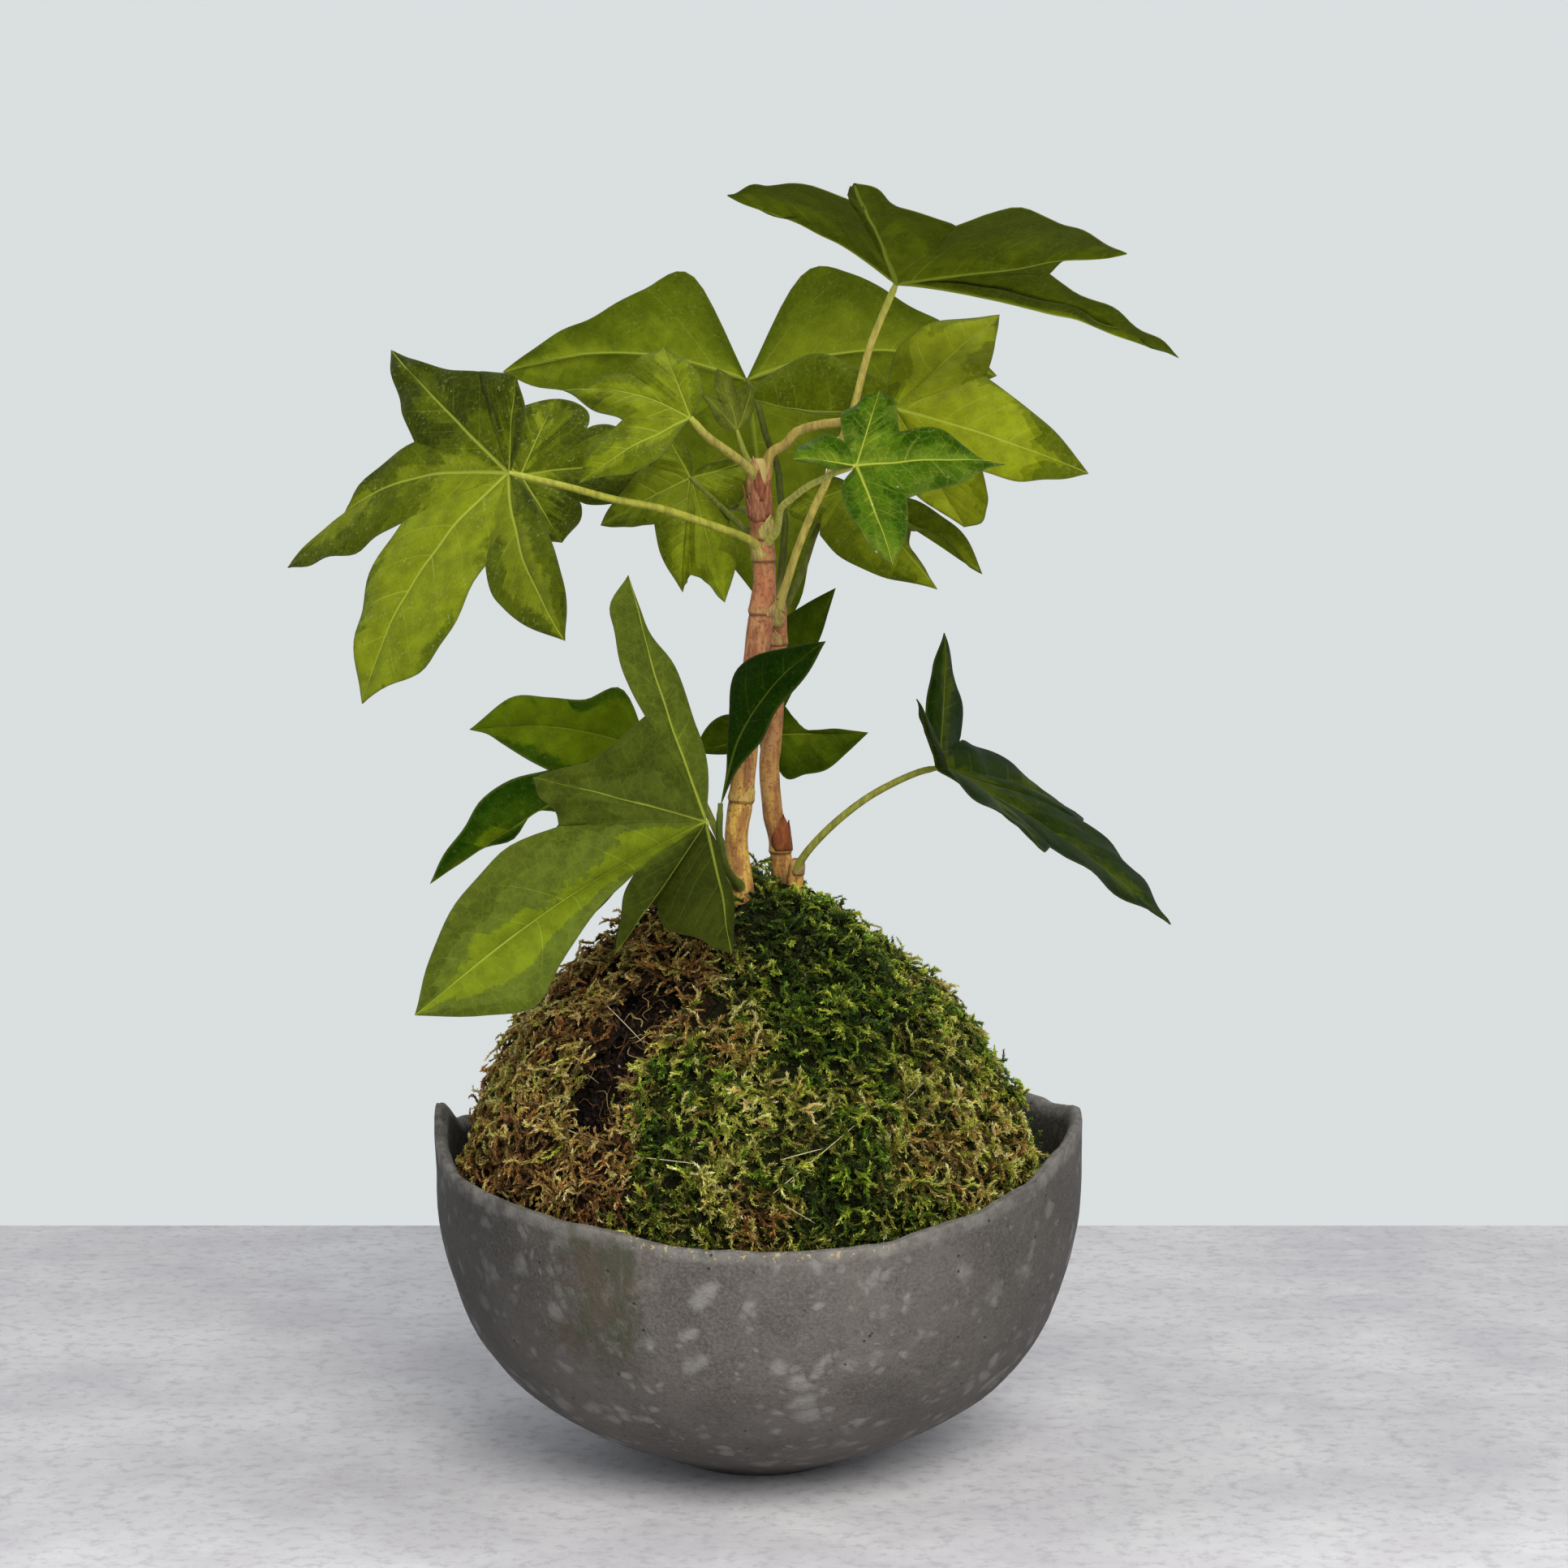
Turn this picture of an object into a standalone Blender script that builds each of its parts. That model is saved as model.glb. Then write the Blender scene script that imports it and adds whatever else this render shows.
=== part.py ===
"""A moss ball planted with a young tree ivy, resting in a pinched stoneware bowl.

Tables are in millimetres and degrees, and MM turns them into metres. +X is right, +Y is away from
the front, +Z is up, and the origin is the middle of the bowl's foot.
"""

import math
from collections import namedtuple

import bmesh
import bpy
from mathutils import Vector, noise

MM = 0.001
OBJECT_NAME = "english_ivy_kokedama"
GAP = 0.3
# Points closer than this, in metres, are made one
WELD = 0.00001

# Bowl: outer radius and height from the rim down to the foot, then the inside from the floor up
BOWL_OUTSIDE = [
    (76.0, 83.0), (76.0, 74.0), (75.6, 62.5), (74.2, 53.0), (71.6, 43.0), (68.0, 34.0),
    (62.6, 25.8), (55.0, 18.2), (45.0, 11.6), (35.0, 6.8), (27.0, 3.2), (20.0, 0.0),
]
BOWL_INSIDE = [
    (18.0, 6.8), (30.0, 9.8), (41.0, 15.2), (51.0, 21.8), (58.6, 29.2), (64.0, 37.2), (67.6, 46.0),
    (70.2, 56.0), (71.8, 66.0), (72.2, 74.0),
]
BOWL_FLOOR = 6.2
BOWL_RIM = (74.4, 84.0)
BOWL_STEPS = 48
# Rim height and outward lean at each azimuth, where 0 is right, 90 is back and 270 is front
RIM_WAVE = [
    (0, 82.0, 0.6), (20, 78.5, 0.0), (40, 78.0, -0.4), (65, 80.0, 0.0), (95, 82.0, 0.4),
    (125, 78.0, 0.0), (150, 73.0, -0.6), (166, 76.0, 0.0), (180, 83.5, 0.8), (190, 77.5, 0.4),
    (202, 73.5, 0.0), (222, 72.0, -0.6), (240, 70.3, -1.4), (258, 67.6, -2.2), (272, 66.8, -2.6),
    (290, 67.4, -2.2), (306, 70.6, -1.4), (322, 74.4, -0.4), (336, 79.5, 0.2), (348, 82.5, 0.8),
]
RIM_WAVE_STARTS = 30.0
DENT_DEPTH = 0.5
DENT_SIZE = 22.0
# Dents grow from nothing at the foot to their full depth at this height
DENT_FULL = 12.0

# Moss ball: radius and height of its outside, from the top down
MOSS_PROFILE = [
    (7.0, 136.0), (14.5, 132.0), (22.0, 127.0), (29.5, 121.0), (38.0, 114.5), (45.5, 107.5),
    (52.0, 100.0), (57.2, 91.5), (61.8, 82.5), (64.4, 73.0), (64.8, 64.0), (62.5, 54.0),
    (58.0, 43.0), (50.5, 32.5), (41.0, 23.0), (30.0, 15.0), (16.0, 8.6),
]
# The ball leans this far to the left, growing between two heights
MOSS_LEAN = 4.5
MOSS_LEAN_HEIGHTS = (40.0, 115.0)
MOSS_TOP = 138.0
MOSS_MIDDLE = 62.0
MOSS_BOTTOM = 7.0
# Tufts grow from nothing at the ball's foot to their full height this far above it
MOSS_FOOT = 12.0
MOSS_STEPS = 44
MOSS_TUFT_SIZE = 6.0
MOSS_TUFT_HEIGHT = 6.0
MOSS_THICKNESS = 5.0
MOSS_ROOM = 0.9
SOIL_STEPS = 24
SOIL_LUMP_SIZE = 14.0
SOIL_LUMP_HEIGHT = 1.0
SOIL_SIDE_SHARE = 0.9
# The line where dry moss on the left meets green moss, in the front view
DRY_MOSS_LINE = [(-14, 150), (-15, 128), (-11, 121), (-9, 115), (-16, 108), (-24, 100), (-25, 90),
                 (-27, 80), (-31, 70), (-33, 58), (-35, 40), (-36, -10)]
# Bare soil patch, seen from the front: outline of the opening in the dry moss
BARE_PATCH = [(-27, 117), (-20, 119), (-13, 114), (-19, 109), (-21, 103), (-26, 98), (-29, 90),
              (-34, 84), (-41, 86), (-40, 95), (-37, 103), (-31, 108), (-33, 113)]
BARE_PATCH_DEPTHS = (-100, -20)
# Half width, height, foot and half depth of the cutters that part the two mats
SIDE_REACH = 120
SIDE_TOP = 200
SIDE_FOOT = -20
SIDE_DEPTH = 100

# Stems: x, y, height and radius at points along each
STEM_FRONT = [
    (-3.6, -10.0, 111.5, 2.6), (-3.7, -10.0, 134.0, 2.9), (-5.0, -10.5, 145.9, 2.7),
    (-5.0, -11.0, 151.7, 2.7), (-4.0, -11.0, 158.3, 2.9), (-3.3, -11.0, 165.0, 2.7),
    (-1.4, -10.5, 183.6, 2.8), (0.7, -10.0, 201.4, 2.9), (1.4, -10.0, 209.0, 2.6),
    (0.9, -10.0, 220.0, 2.7), (0.1, -10.2, 229.0, 2.6), (-0.2, -10.6, 237.0, 2.0),
]
STEM_BACK = [
    (6.3, 10.0, 113.7, 2.5), (5.1, 10.0, 143.4, 2.6), (3.2, 10.0, 152.8, 2.4),
    (2.4, 10.0, 163.6, 2.4), (3.0, 10.0, 170.0, 2.4), (4.2, 9.0, 191.5, 2.4),
    (4.2, 8.0, 203.5, 2.2),
]
STEM_STUB = [(7.6, 3.0, 118.8, 2.0), (8.2, 2.0, 132.6, 2.1), (9.1, 1.0, 143.0, 1.7)]
# Heights of the leaf scars that ring each stem
FRONT_RINGS = (158.3, 201.4, 213.5, 218.5)
BACK_RINGS = (143.4, 193.0)
RING_HEIGHT = 0.45
RING_REACH = 1.3

# Leaves: a lobe is (angle, length, lift, bow, belly before, belly after) about the petiole's end, seen
# on the upper face and anticlockwise from the heading; a belly is how far the margin stands out from
# its chord, as a share of the chord: one share at its middle, or several at equal steps along it
LEAF_THICKNESS = 0.8
# Margins of neighbouring half lobes meet within this, in metres
LEAF_WELD = 0.00005
# How thick a petiole is at the stem and at the blade, as a share of its thickness between
PETIOLE_FOOT = 1.15
PETIOLE_END = 0.8
ROWS_TO_NOTCH = 3
ROWS_TO_TIP = 5
COLUMNS = 2
RIB_TO_NOTCH = 0.4
BELLY_SKEW = 0.75
QUILT = 0.05
Lobe = namedtuple("Lobe", "angle length lift bow before after", defaults=(0, 0, 0.16, 0.16))
Notch = namedtuple("Notch", "angle radius lift", defaults=(0,))
Leaf = namedtuple("Leaf", "base toward facing arch colour stem lobes notches petiole thick")

LIME = (0.20, 0.30, 0.025, 1)
MID_GREEN = (0.085, 0.17, 0.02, 1)
DARK_GREEN = (0.03, 0.085, 0.015, 1)
GREY_GREEN = (0.075, 0.12, 0.045, 1)

LEAVES = {
    "leaf_left": Leaf(
        (-54.6, -38, 233.9), (-0.85, 0.38, -0.37), (-0.52, -0.74, 0.43), 0.06, MID_GREEN, "front",
        [Lobe(-107, 22, 0, 0, (0.1, 0.15, 0.15, 0.09), (0.02, 0.04, 0.04, 0.02)),
         Lobe(-58, 53, 0, 0, (-0.04, -0.05, -0.05, -0.03), (0.02, 0.03, 0.03, 0.02)),
         Lobe(-1, 62, 0, -7, (0.04, 0.02, -0.06, -0.05), (0.05, 0.1, 0.07, 0.06)),
         Lobe(44, 60, 0, -3, (0.1, 0.14, 0.12, 0.08), (0.07, 0.16, 0.19, 0.08)),
         Lobe(104, 50, 0, -2, (0.11, 0.13, 0.12, 0.07), (0.08, 0.1, 0.11, 0.09))],
        [Notch(-83, 27), Notch(-36, 27), Notch(7, 27), Notch(77, 24)],
        [(1.1, -10, 215.3), (-2.4, -14, 218.5), (-11.1, -20, 222), (-21.5, -26, 225.7),
         (-32, -31, 228), (-41.8, -35, 230.8)], 0.95),
    "leaf_left_back": Leaf(
        (-56.3, 16, 232.3), (0.99, -0.08, 0.06), (-0.10, -0.86, 0.50), 0.05, MID_GREEN, "front",
        [Lobe(-140, 20), Lobe(-62, 22), Lobe(0, 31, 0, 0, 0.24, 0.24), Lobe(66, 21, 0, 0, 0.3, 0.2),
         Lobe(145, 22)],
        [Notch(-100, 12), Notch(-32, 17), Notch(34, 19), Notch(110, 13)],
        [(0.7, -9, 222.7), (-5.6, 2, 225.1), (-25.9, 14, 227.5), (-45.4, 21, 229.7)], 0.9),
    "leaf_crown_left": Leaf(
        (-14.9, -28, 245.9), (-0.90, 0.39, 0.18), (-0.20, -0.76, 0.61), 0.06, LIME, "front",
        [Lobe(-50, 21, 0, 0, 0.25, 0.15),
         Lobe(0, 32, 0, -2, (0.02, 0.02, -0.02, -0.04), (0.04, 0.06, 0.05, 0.02)),
         Lobe(54, 29, 0, 0, (0.06, 0.11, 0.13, 0.07), (0.12, 0.23, 0.21, 0.11))],
        [Notch(-22, 19), Notch(20, 15)],
        [(-0.2, -10, 231.6), (-1.1, -12, 233.3), (-4.9, -17, 236.9), (-11.2, -24, 241.7)], 1.1),
    "leaf_young": Leaf(
        (-4.9, -6, 243), (-0.28, -0.22, 0.93), (0.63, -0.77, 0), 0.05, GREY_GREEN, "front",
        [Lobe(-40, 11, 0, 0, 0.2, 0.1), Lobe(0, 15), Lobe(30, 13, 0, 0, 0.1, 0.2)],
        [Notch(-19, 8, -3), Notch(15, 8, -5)],
        [(-0.4, -9, 232.3), (-3, -7, 237.5)], 0.7),
    "leaf_back": Leaf(
        (-3.1, 36, 254.9), (0.11, 0.35, -0.93), (0, 0.94, 0.35), 0.05, MID_GREEN, "back",
        [Lobe(-81, 62, 9, -6, (0.41, 0.41, 0.3, 0.19), 0.05),
         Lobe(0, 68, -2, 0, (0.02, 0.04, 0.05, 0.06), (0.01, 0.02, 0.02, 0)),
         Lobe(94, 61, 10, 5, (-0.01, -0.03, -0.04, 0.01), (0.41, 0.35, 0.24, 0.14))],
        [Notch(-44, 27, 5), Notch(55, 28, 5)],
        [(4.4, 8, 201.1), (6.1, 14, 219.6), (5.1, 19, 226.9), (4.3, 24, 234.1), (1.6, 29, 241.3),
         (-0.4, 33, 248.7)], 0.95),
    "leaf_star": Leaf(
        (-15.9, 6, 231.8), (-0.05, -0.50, -0.86), (-0.10, -0.86, 0.50), 0.05, LIME, "front",
        [Lobe(-150, 17), Lobe(-57, 24, 0, 0, (0.01, 0.01, 0.04, 0.04), (0.01, 0.07, 0.07, 0.05)),
         Lobe(0, 30, 0, 0, (0.04, 0.07, 0.06, 0.03), (-0.09, -0.05, -0.01, -0.01)),
         Lobe(17, 34, 0, 0, (-0.09, -0.07, -0.04, 0), (0.05, 0.1, 0.1, 0.06)), Lobe(102, 15)],
        [Notch(-105, 11), Notch(-30, 15), Notch(4, 26), Notch(45, 13)],
        [(0.9, -9, 216.8), (-3.1, -6, 220.4), (-9.3, 0, 225.7)], 0.9),
    "leaf_top": Leaf(
        (31.1, -22, 276.1), (-0.18, -0.89, 0.41), (0.10, 0.40, 0.91), 0.01, DARK_GREEN, "back",
        [Lobe(-56, 43, 11, 4, (-0.13, -0.18, -0.15, -0.02), (0.23, 0.22, 0.15, 0.09)),
         Lobe(0, 57, -6, 0, 0.04, (0.01, -0.08, -0.03, 0.03)),
         Lobe(79, 53, 2, 0, (0.28, 0.29, 0.18, 0.1), (-0.09, -0.17, -0.2, -0.17)),
         Lobe(122, 71, 0, -4, (-0.02, 0.03, 0.03, 0.03), (-0.09, -0.11, -0.1, -0.06))],
        [Notch(-6, 40, -2), Notch(30, 35, -4), Notch(92, 34, 4)],
        [(4, 8, 199.8), (7, 5, 208.9), (9.5, 3, 216.6), (12.9, 0, 225), (15.6, -3, 230.9),
         (18.9, -8, 240.3), (21.9, -12, 248.7), (25.3, -17, 261.8)], 1.0),
    "leaf_right": Leaf(
        (31.2, -10, 248), (0.91, -0.26, -0.32), (-0.11, -0.91, 0.41), 0.05, LIME, "front",
        [Lobe(-37, 32, -20, 0, 0.25, (0.17, 0.31, 0.35, 0.33)),
         Lobe(1, 47, 0, 0, (0.06, 0.1, 0.09, 0.06), (0.02, 0.04, 0.04, 0.03)),
         Lobe(69, 35, -11, 0, (0.03, 0.03, 0.02, 0.02), (0.17, 0.21, 0.19, 0.1)),
         Lobe(189, 40, -17, 3, (0.11, 0.22, 0.22, 0.13), 0.1)],
        [Notch(-17, 26, -4), Notch(42, 22, -7), Notch(130, 6, -2)],
        [(0.3, -10, 231.1), (1.6, -10, 233.3), (2.8, -11, 237.7), (6.3, -12, 239.9),
         (8.8, -13, 242.7), (14.5, -15, 244.4), (18.7, -16, 244.9), (25, -14, 246.4)], 1.2),
    "leaf_front": Leaf(
        (21.6, -46, 235.7), (0.99, 0.13, 0.01), (0.10, -0.80, 0.60), 0.05, DARK_GREEN, "front",
        [Lobe(-79, 27, 0, 0, (0.19, 0.21, 0.19, 0.14), (0.05, 0.08, 0.09, 0.05)),
         Lobe(0, 33, 0, 0, (0.01, 0.03, 0.04, 0.01), (0.1, 0.12, 0.03, -0.05)),
         Lobe(70, 20, 0, 0, (0.05, 0.11, 0.14, 0.08), (0.18, 0.26, 0.17, 0.14)),
         Lobe(177, 14, 0, 0, (0.27, 0.28, 0.26, 0.2), (0.09, 0.16, 0.13, 0.09))],
        [Notch(-45, 14), Notch(38, 13), Notch(111, 6)],
        [(1.1, -10, 216.8), (4.2, -16, 220.2), (5.2, -24, 225.6), (7.5, -30, 228),
         (10.9, -36, 230.8), (14.3, -41, 232.7), (16.7, -44, 234)], 0.85),
    "leaf_right_low": Leaf(
        (22, 14, 229.5), (0.59, -0.37, -0.72), (-0.19, -0.93, 0.33), 0.05, LIME, "back",
        [Lobe(-109, 16, -6, 0, 0.3, (-0.22, 0, 0.03, 0.08)),
         Lobe(0, 35, 8, 0, (0.08, 0.1, 0.09, 0.04), (-0.1, -0.07, -0.04, -0.03)),
         Lobe(18, 37, -11, 0, (-0.13, -0.16, -0.09, 0), (0.07, 0.15, 0.16, 0.13))],
        [Notch(-70, 14, -4), Notch(12, 19, 2)],
        [(4.1, 9, 197), (10, 15, 209), (14.4, 18, 220.7)], 0.9),
    "leaf_low_front": Leaf(
        (-11.7, -28, 155.2), (-0.73, -0.53, -0.43), (0.42, -0.84, 0.34), 0.04, GREY_GREEN, "front",
        [Lobe(-103, 58, 6, 2, (0.07, 0.07, 0.06, 0), (0.1, 0.15, 0.17, 0.16)),
         Lobe(-42, 44, 3, 0, (-0.04, -0.08, -0.09, -0.03), (-0.08, 0.01, 0.07, 0.05)),
         Lobe(0, 81, -6, -3, (0.12, 0.15, 0.15, 0.09), (0.04, 0.12, 0.23, 0.14)),
         Lobe(18, 41, 3, 0, (0.05, 0.06, 0.05, 0.03), (-0.08, -0.12, -0.13, -0.09)),
         Lobe(57, 33, 12, 0, (0.18, 0.18, 0.09, 0.06), (0.06, 0.06, 0.08, 0.06))],
        [Notch(-86, 28, 9), Notch(-28, 37), Notch(1, 26, 9), Notch(22, 23, -8)],
        [(-4.6, -10, 137.3), (-10.2, -14, 143.6), (-12.6, -20, 150.1)], 1.1),
    "leaf_low_left": Leaf(
        (-25.8, 4, 168), (-0.85, -0.18, -0.50), (0.22, -0.98, -0.02), 0.05, DARK_GREEN, "front",
        [Lobe(-38, 43, -2, -3, (0.32, 0.24, 0.23, 0.2), (0, -0.01, -0.03, -0.05)),
         Lobe(0, 60, 1, -2, (0.12, 0.16, 0.11, 0.08), (-0.12, -0.02, -0.06, -0.03)), Lobe(34, 52)],
        [Notch(-22, 25, 2), Notch(6, 24)],
        [(-5, -9, 139.1), (-8.6, -1, 146.5), (-16.3, 4, 161.2)], 0.95),
    "leaf_low_upright": Leaf(
        (-8.5, -24, 159), (0.63, -0.01, 0.78), (-0.53, -0.74, 0.42), 0.04, DARK_GREEN, "front",
        [Lobe(3, 44, 6, 5, (-0.01, 0.04, 0, 0.04), (0.1, 0.25, 0.38, 0.23))],
        [],
        [(-3.9, -11, 137.5), (-6.8, -18, 142.3), (-8.3, -22, 147.5), (-8.8, -24, 152.5)], 0.95),
    "leaf_low_back": Leaf(
        (0.4, 30, 169.1), (0.45, 0.11, 0.88), (0.03, -0.99, 0.11), 0.05, MID_GREEN, "back",
        [Lobe(-62, 26, 0, 0, (0.4, 0.38, 0.34, 0.18), (-0.2, -0.16, -0.08, -0.04)),
         Lobe(0, 40, 0, 0, (0.01, 0.03, 0.04, 0.02), (0.05, 0.09, 0.13, 0.08)), Lobe(132, 17)],
        [Notch(-13, 9), Notch(84, 9)],
        [(4.4, 10, 146.9), (2.8, 16, 150.1), (1.8, 24, 158.9)], 0.9),
    "leaf_low_right": Leaf(
        (42, -4, 164.9), (0.81, -0.08, -0.59), (0.57, -0.17, 0.81), 0.04, DARK_GREEN, "stub",
        [Lobe(-122, 29, 26, 0, 0.1, 0.1), Lobe(-48, 44, 6), Lobe(0, 65, 2, 0, 0.16, 0.2), Lobe(50, 47),
         Lobe(125, 36, 32, 0, 0.14, 0.18)],
        [Notch(-85, 15, 10), Notch(-24, 26, 2), Notch(26, 38, 5), Notch(88, 16, 8)],
        [(8.6, 2, 138), (9.1, 0, 141), (12.2, -2, 145.9), (18, -4, 152.1), (24.8, -5, 157.6),
         (31.4, -5, 161.4), (37.4, -5, 164)], 0.95),
}


def clear_scene():
    for obj in list(bpy.data.objects):
        bpy.data.objects.remove(obj, do_unlink=True)


def new_collection(name, hidden=False):
    collection = bpy.data.collections.new(name)
    collection.hide_render = hidden
    bpy.context.scene.collection.children.link(collection)
    return collection


def material(name, colour, roughness):
    made = bpy.data.materials.new(name)
    made.use_nodes = True
    shader = made.node_tree.nodes["Principled BSDF"]
    shader.inputs["Base Color"].default_value = colour
    shader.inputs["Roughness"].default_value = roughness
    shader.inputs["Metallic"].default_value = 0.0
    made.diffuse_color = colour
    return made


def add_object(name, mesh, collection):
    obj = bpy.data.objects.new(name, mesh)
    collection.objects.link(obj)
    return obj


def object_from_bmesh(name, bm, collection):
    mesh = bpy.data.meshes.new(name)
    bm.to_mesh(mesh)
    bm.free()
    return add_object(name, mesh, collection)


def apply_modifiers(obj):
    """Replaces the object's mesh with what its modifiers make of it."""
    bpy.context.view_layer.update()
    graph = bpy.context.evaluated_depsgraph_get()
    mesh = bpy.data.meshes.new_from_object(obj.evaluated_get(graph))
    old = obj.data
    obj.modifiers.clear()
    obj.data = mesh
    bpy.data.meshes.remove(old)


def boolean(obj, other, operation):
    change = obj.modifiers.new(operation.title(), "BOOLEAN")
    change.operation = operation
    change.solver = "MANIFOLD"
    change.object = other
    apply_modifiers(obj)


def keep_largest_body(obj):
    """Drops the scraps that a cut leaves, and keeps the body with the most vertices."""
    bm = bmesh.new()
    bm.from_mesh(obj.data)
    unseen = set(bm.verts)
    bodies = []
    while unseen:
        body = set()
        front = [unseen.pop()]
        while front:
            vert = front.pop()
            body.add(vert)
            for edge in vert.link_edges:
                other = edge.other_vert(vert)
                if other in unseen:
                    unseen.remove(other)
                    front.append(other)
        bodies.append(body)
    bodies.sort(key=len)
    scraps = [vert for body in bodies[:-1] for vert in body]
    bmesh.ops.delete(bm, geom=scraps, context="VERTS")
    bm.to_mesh(obj.data)
    bm.free()


def turned(name, profile, steps, collection):
    """Turns a profile of (radius, height) points in millimetres about the Z axis."""
    bm = bmesh.new()
    verts = [bm.verts.new((radius * MM, 0, height * MM)) for radius, height in profile]
    for first, second in zip(verts, verts[1:]):
        bm.edges.new((first, second))
    obj = object_from_bmesh(name, bm, collection)
    screw = obj.modifiers.new("Turn", "SCREW")
    screw.steps = steps
    screw.render_steps = steps
    screw.use_merge_vertices = True
    screw.merge_threshold = WELD
    screw.use_smooth_shade = False
    apply_modifiers(obj)
    return obj


def tube(name, points, radii, sides, collection):
    """A mesh tube through points in millimetres, with capped ends."""
    curve = bpy.data.curves.new(name, "CURVE")
    curve.dimensions = "3D"
    curve.bevel_depth = MM
    curve.bevel_resolution = (sides - 4) // 2
    curve.use_fill_caps = True
    spline = curve.splines.new("POLY")
    spline.points.add(len(points) - 1)
    for place, point, radius in zip(spline.points, points, radii):
        place.co = (*(Vector(point) * MM), 1)
        place.radius = radius
    drawn = add_object(name + "_curve", curve, collection)
    bpy.context.view_layer.update()
    graph = bpy.context.evaluated_depsgraph_get()
    mesh = bpy.data.meshes.new_from_object(drawn.evaluated_get(graph))
    matrix = drawn.matrix_world.copy()
    bpy.data.objects.remove(drawn, do_unlink=True)
    bm = bmesh.new()
    bm.from_mesh(mesh)
    bmesh.ops.remove_doubles(bm, verts=bm.verts, dist=WELD)
    bmesh.ops.recalc_face_normals(bm, faces=bm.faces)
    bm.to_mesh(mesh)
    bm.free()
    obj = add_object(name, mesh, collection)
    obj.matrix_world = matrix
    return obj


def wave_at(table, azimuth):
    """The table's values at an azimuth in degrees, eased from one row to the next all the way round."""
    rows = [*table, (table[0][0] + 360, *table[0][1:])]
    azimuth = (azimuth - rows[0][0]) % 360 + rows[0][0]
    for before, after in zip(rows, rows[1:]):
        if azimuth <= after[0]:
            share = (azimuth - before[0]) / (after[0] - before[0])
            eased = share * share * (3 - 2 * share)
            return [a + (b - a) * eased for a, b in zip(before[1:], after[1:])]
    return list(rows[0][1:])


def make_bowl(collection):
    profile = [*BOWL_OUTSIDE, (0, 0)]
    inside = [(0, BOWL_FLOOR), *BOWL_INSIDE, BOWL_RIM]
    bowl = turned("bowl", [*inside, *profile], BOWL_STEPS, collection)
    top = BOWL_OUTSIDE[0][1]
    for vert in bowl.data.vertices:
        co = vert.co / MM
        azimuth = math.degrees(math.atan2(co.y, co.x))
        height, lean = wave_at(RIM_WAVE, azimuth)
        share = max(0.0, (co.z - RIM_WAVE_STARTS) / (top - RIM_WAVE_STARTS))
        flat = Vector((co.x, co.y, 0))
        if flat.length > 1:
            dent = noise.noise(co / DENT_SIZE) * DENT_DEPTH * min(1, co.z / DENT_FULL)
            flat *= 1 + (lean * share * share + dent) / flat.length
        vert.co = Vector((flat.x, flat.y, co.z + (height - top) * share)) * MM
    return bowl


def mossy_ball(name, steps, inset, lump_size, lump_height, collection):
    """The ball's outline turned round and lumped by a noise, with its foot left flat."""
    profile = [(0, MOSS_TOP - inset)]
    half_height = MOSS_TOP - MOSS_MIDDLE
    profile += [(radius - inset * SOIL_SIDE_SHARE,
                 height - inset * (height - MOSS_MIDDLE) / half_height)
                for radius, height in MOSS_PROFILE if radius > inset + 2]
    profile += [(0, MOSS_BOTTOM + inset)]
    ball = turned(name, profile, steps, collection)
    for vert in ball.data.vertices:
        co = vert.co / MM
        outward = Vector((co.x, co.y, co.z - MOSS_MIDDLE)).normalized()
        lump = noise.noise(co / lump_size) * lump_height
        lean = min(1.0, max(0.0, (co.z - MOSS_LEAN_HEIGHTS[0])
                            / (MOSS_LEAN_HEIGHTS[1] - MOSS_LEAN_HEIGHTS[0])))
        co.x -= MOSS_LEAN * lean
        near_foot = min(1.0, max(0.0, (co.z - MOSS_BOTTOM - inset) / MOSS_FOOT))
        vert.co = (co + outward * lump * near_foot) * MM
    return ball


def prism(name, outline, depths, collection):
    """A cutter: an outline in the front view, carried from one depth to the other."""
    bm = bmesh.new()
    near, far = depths
    verts = [bm.verts.new((x * MM, near * MM, z * MM)) for x, z in outline]
    face = bm.faces.new(verts)
    grown = bmesh.ops.extrude_face_region(bm, geom=[face])
    moved = [item for item in grown["geom"] if isinstance(item, bmesh.types.BMVert)]
    bmesh.ops.translate(bm, verts=moved, vec=(0, (far - near) * MM, 0))
    bmesh.ops.recalc_face_normals(bm, faces=bm.faces)
    obj = object_from_bmesh(name, bm, collection)
    obj.display_type = "WIRE"
    return obj


def between(route, height):
    """The x, y and radius of a stem at a height."""
    for low, high in zip(route, route[1:]):
        if height <= high[2]:
            share = (height - low[2]) / (high[2] - low[2])
            return [a + (b - a) * share for a, b in zip(low, high)]
    return list(route[-1])


def stem_points(route, rings):
    """Points up a stem, with three more about each leaf scar."""
    heights = {row[2] for row in route}
    for ring in rings:
        heights = {h for h in heights if abs(h - ring) > RING_REACH * 1.5}
        heights |= {ring - RING_REACH, ring, ring + RING_REACH}
    points = []
    for height in sorted(heights):
        x, y, _, radius = between(route, height)
        swell = RING_HEIGHT if height in rings else 0
        points.append((x, y, height, radius + swell))
    return points


def make_stem(name, route, rings, grown, collection):
    """A stem, or with grown millimetres more of radius the cutter that keeps others clear of it."""
    points = stem_points(route, rings)
    places = [point[:3] for point in points]
    if grown:
        places[0] = (places[0][0], places[0][1], places[0][2] - grown)
        places[-1] = (places[-1][0], places[-1][1], places[-1][2] + grown)
    return tube(name, places, [point[3] + grown for point in points], 12, collection)


def polar(angle, length, lift):
    across = length * math.cos(math.radians(lift))
    return Vector((across * math.cos(math.radians(angle)), across * math.sin(math.radians(angle)),
                   length * math.sin(math.radians(lift))))


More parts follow.
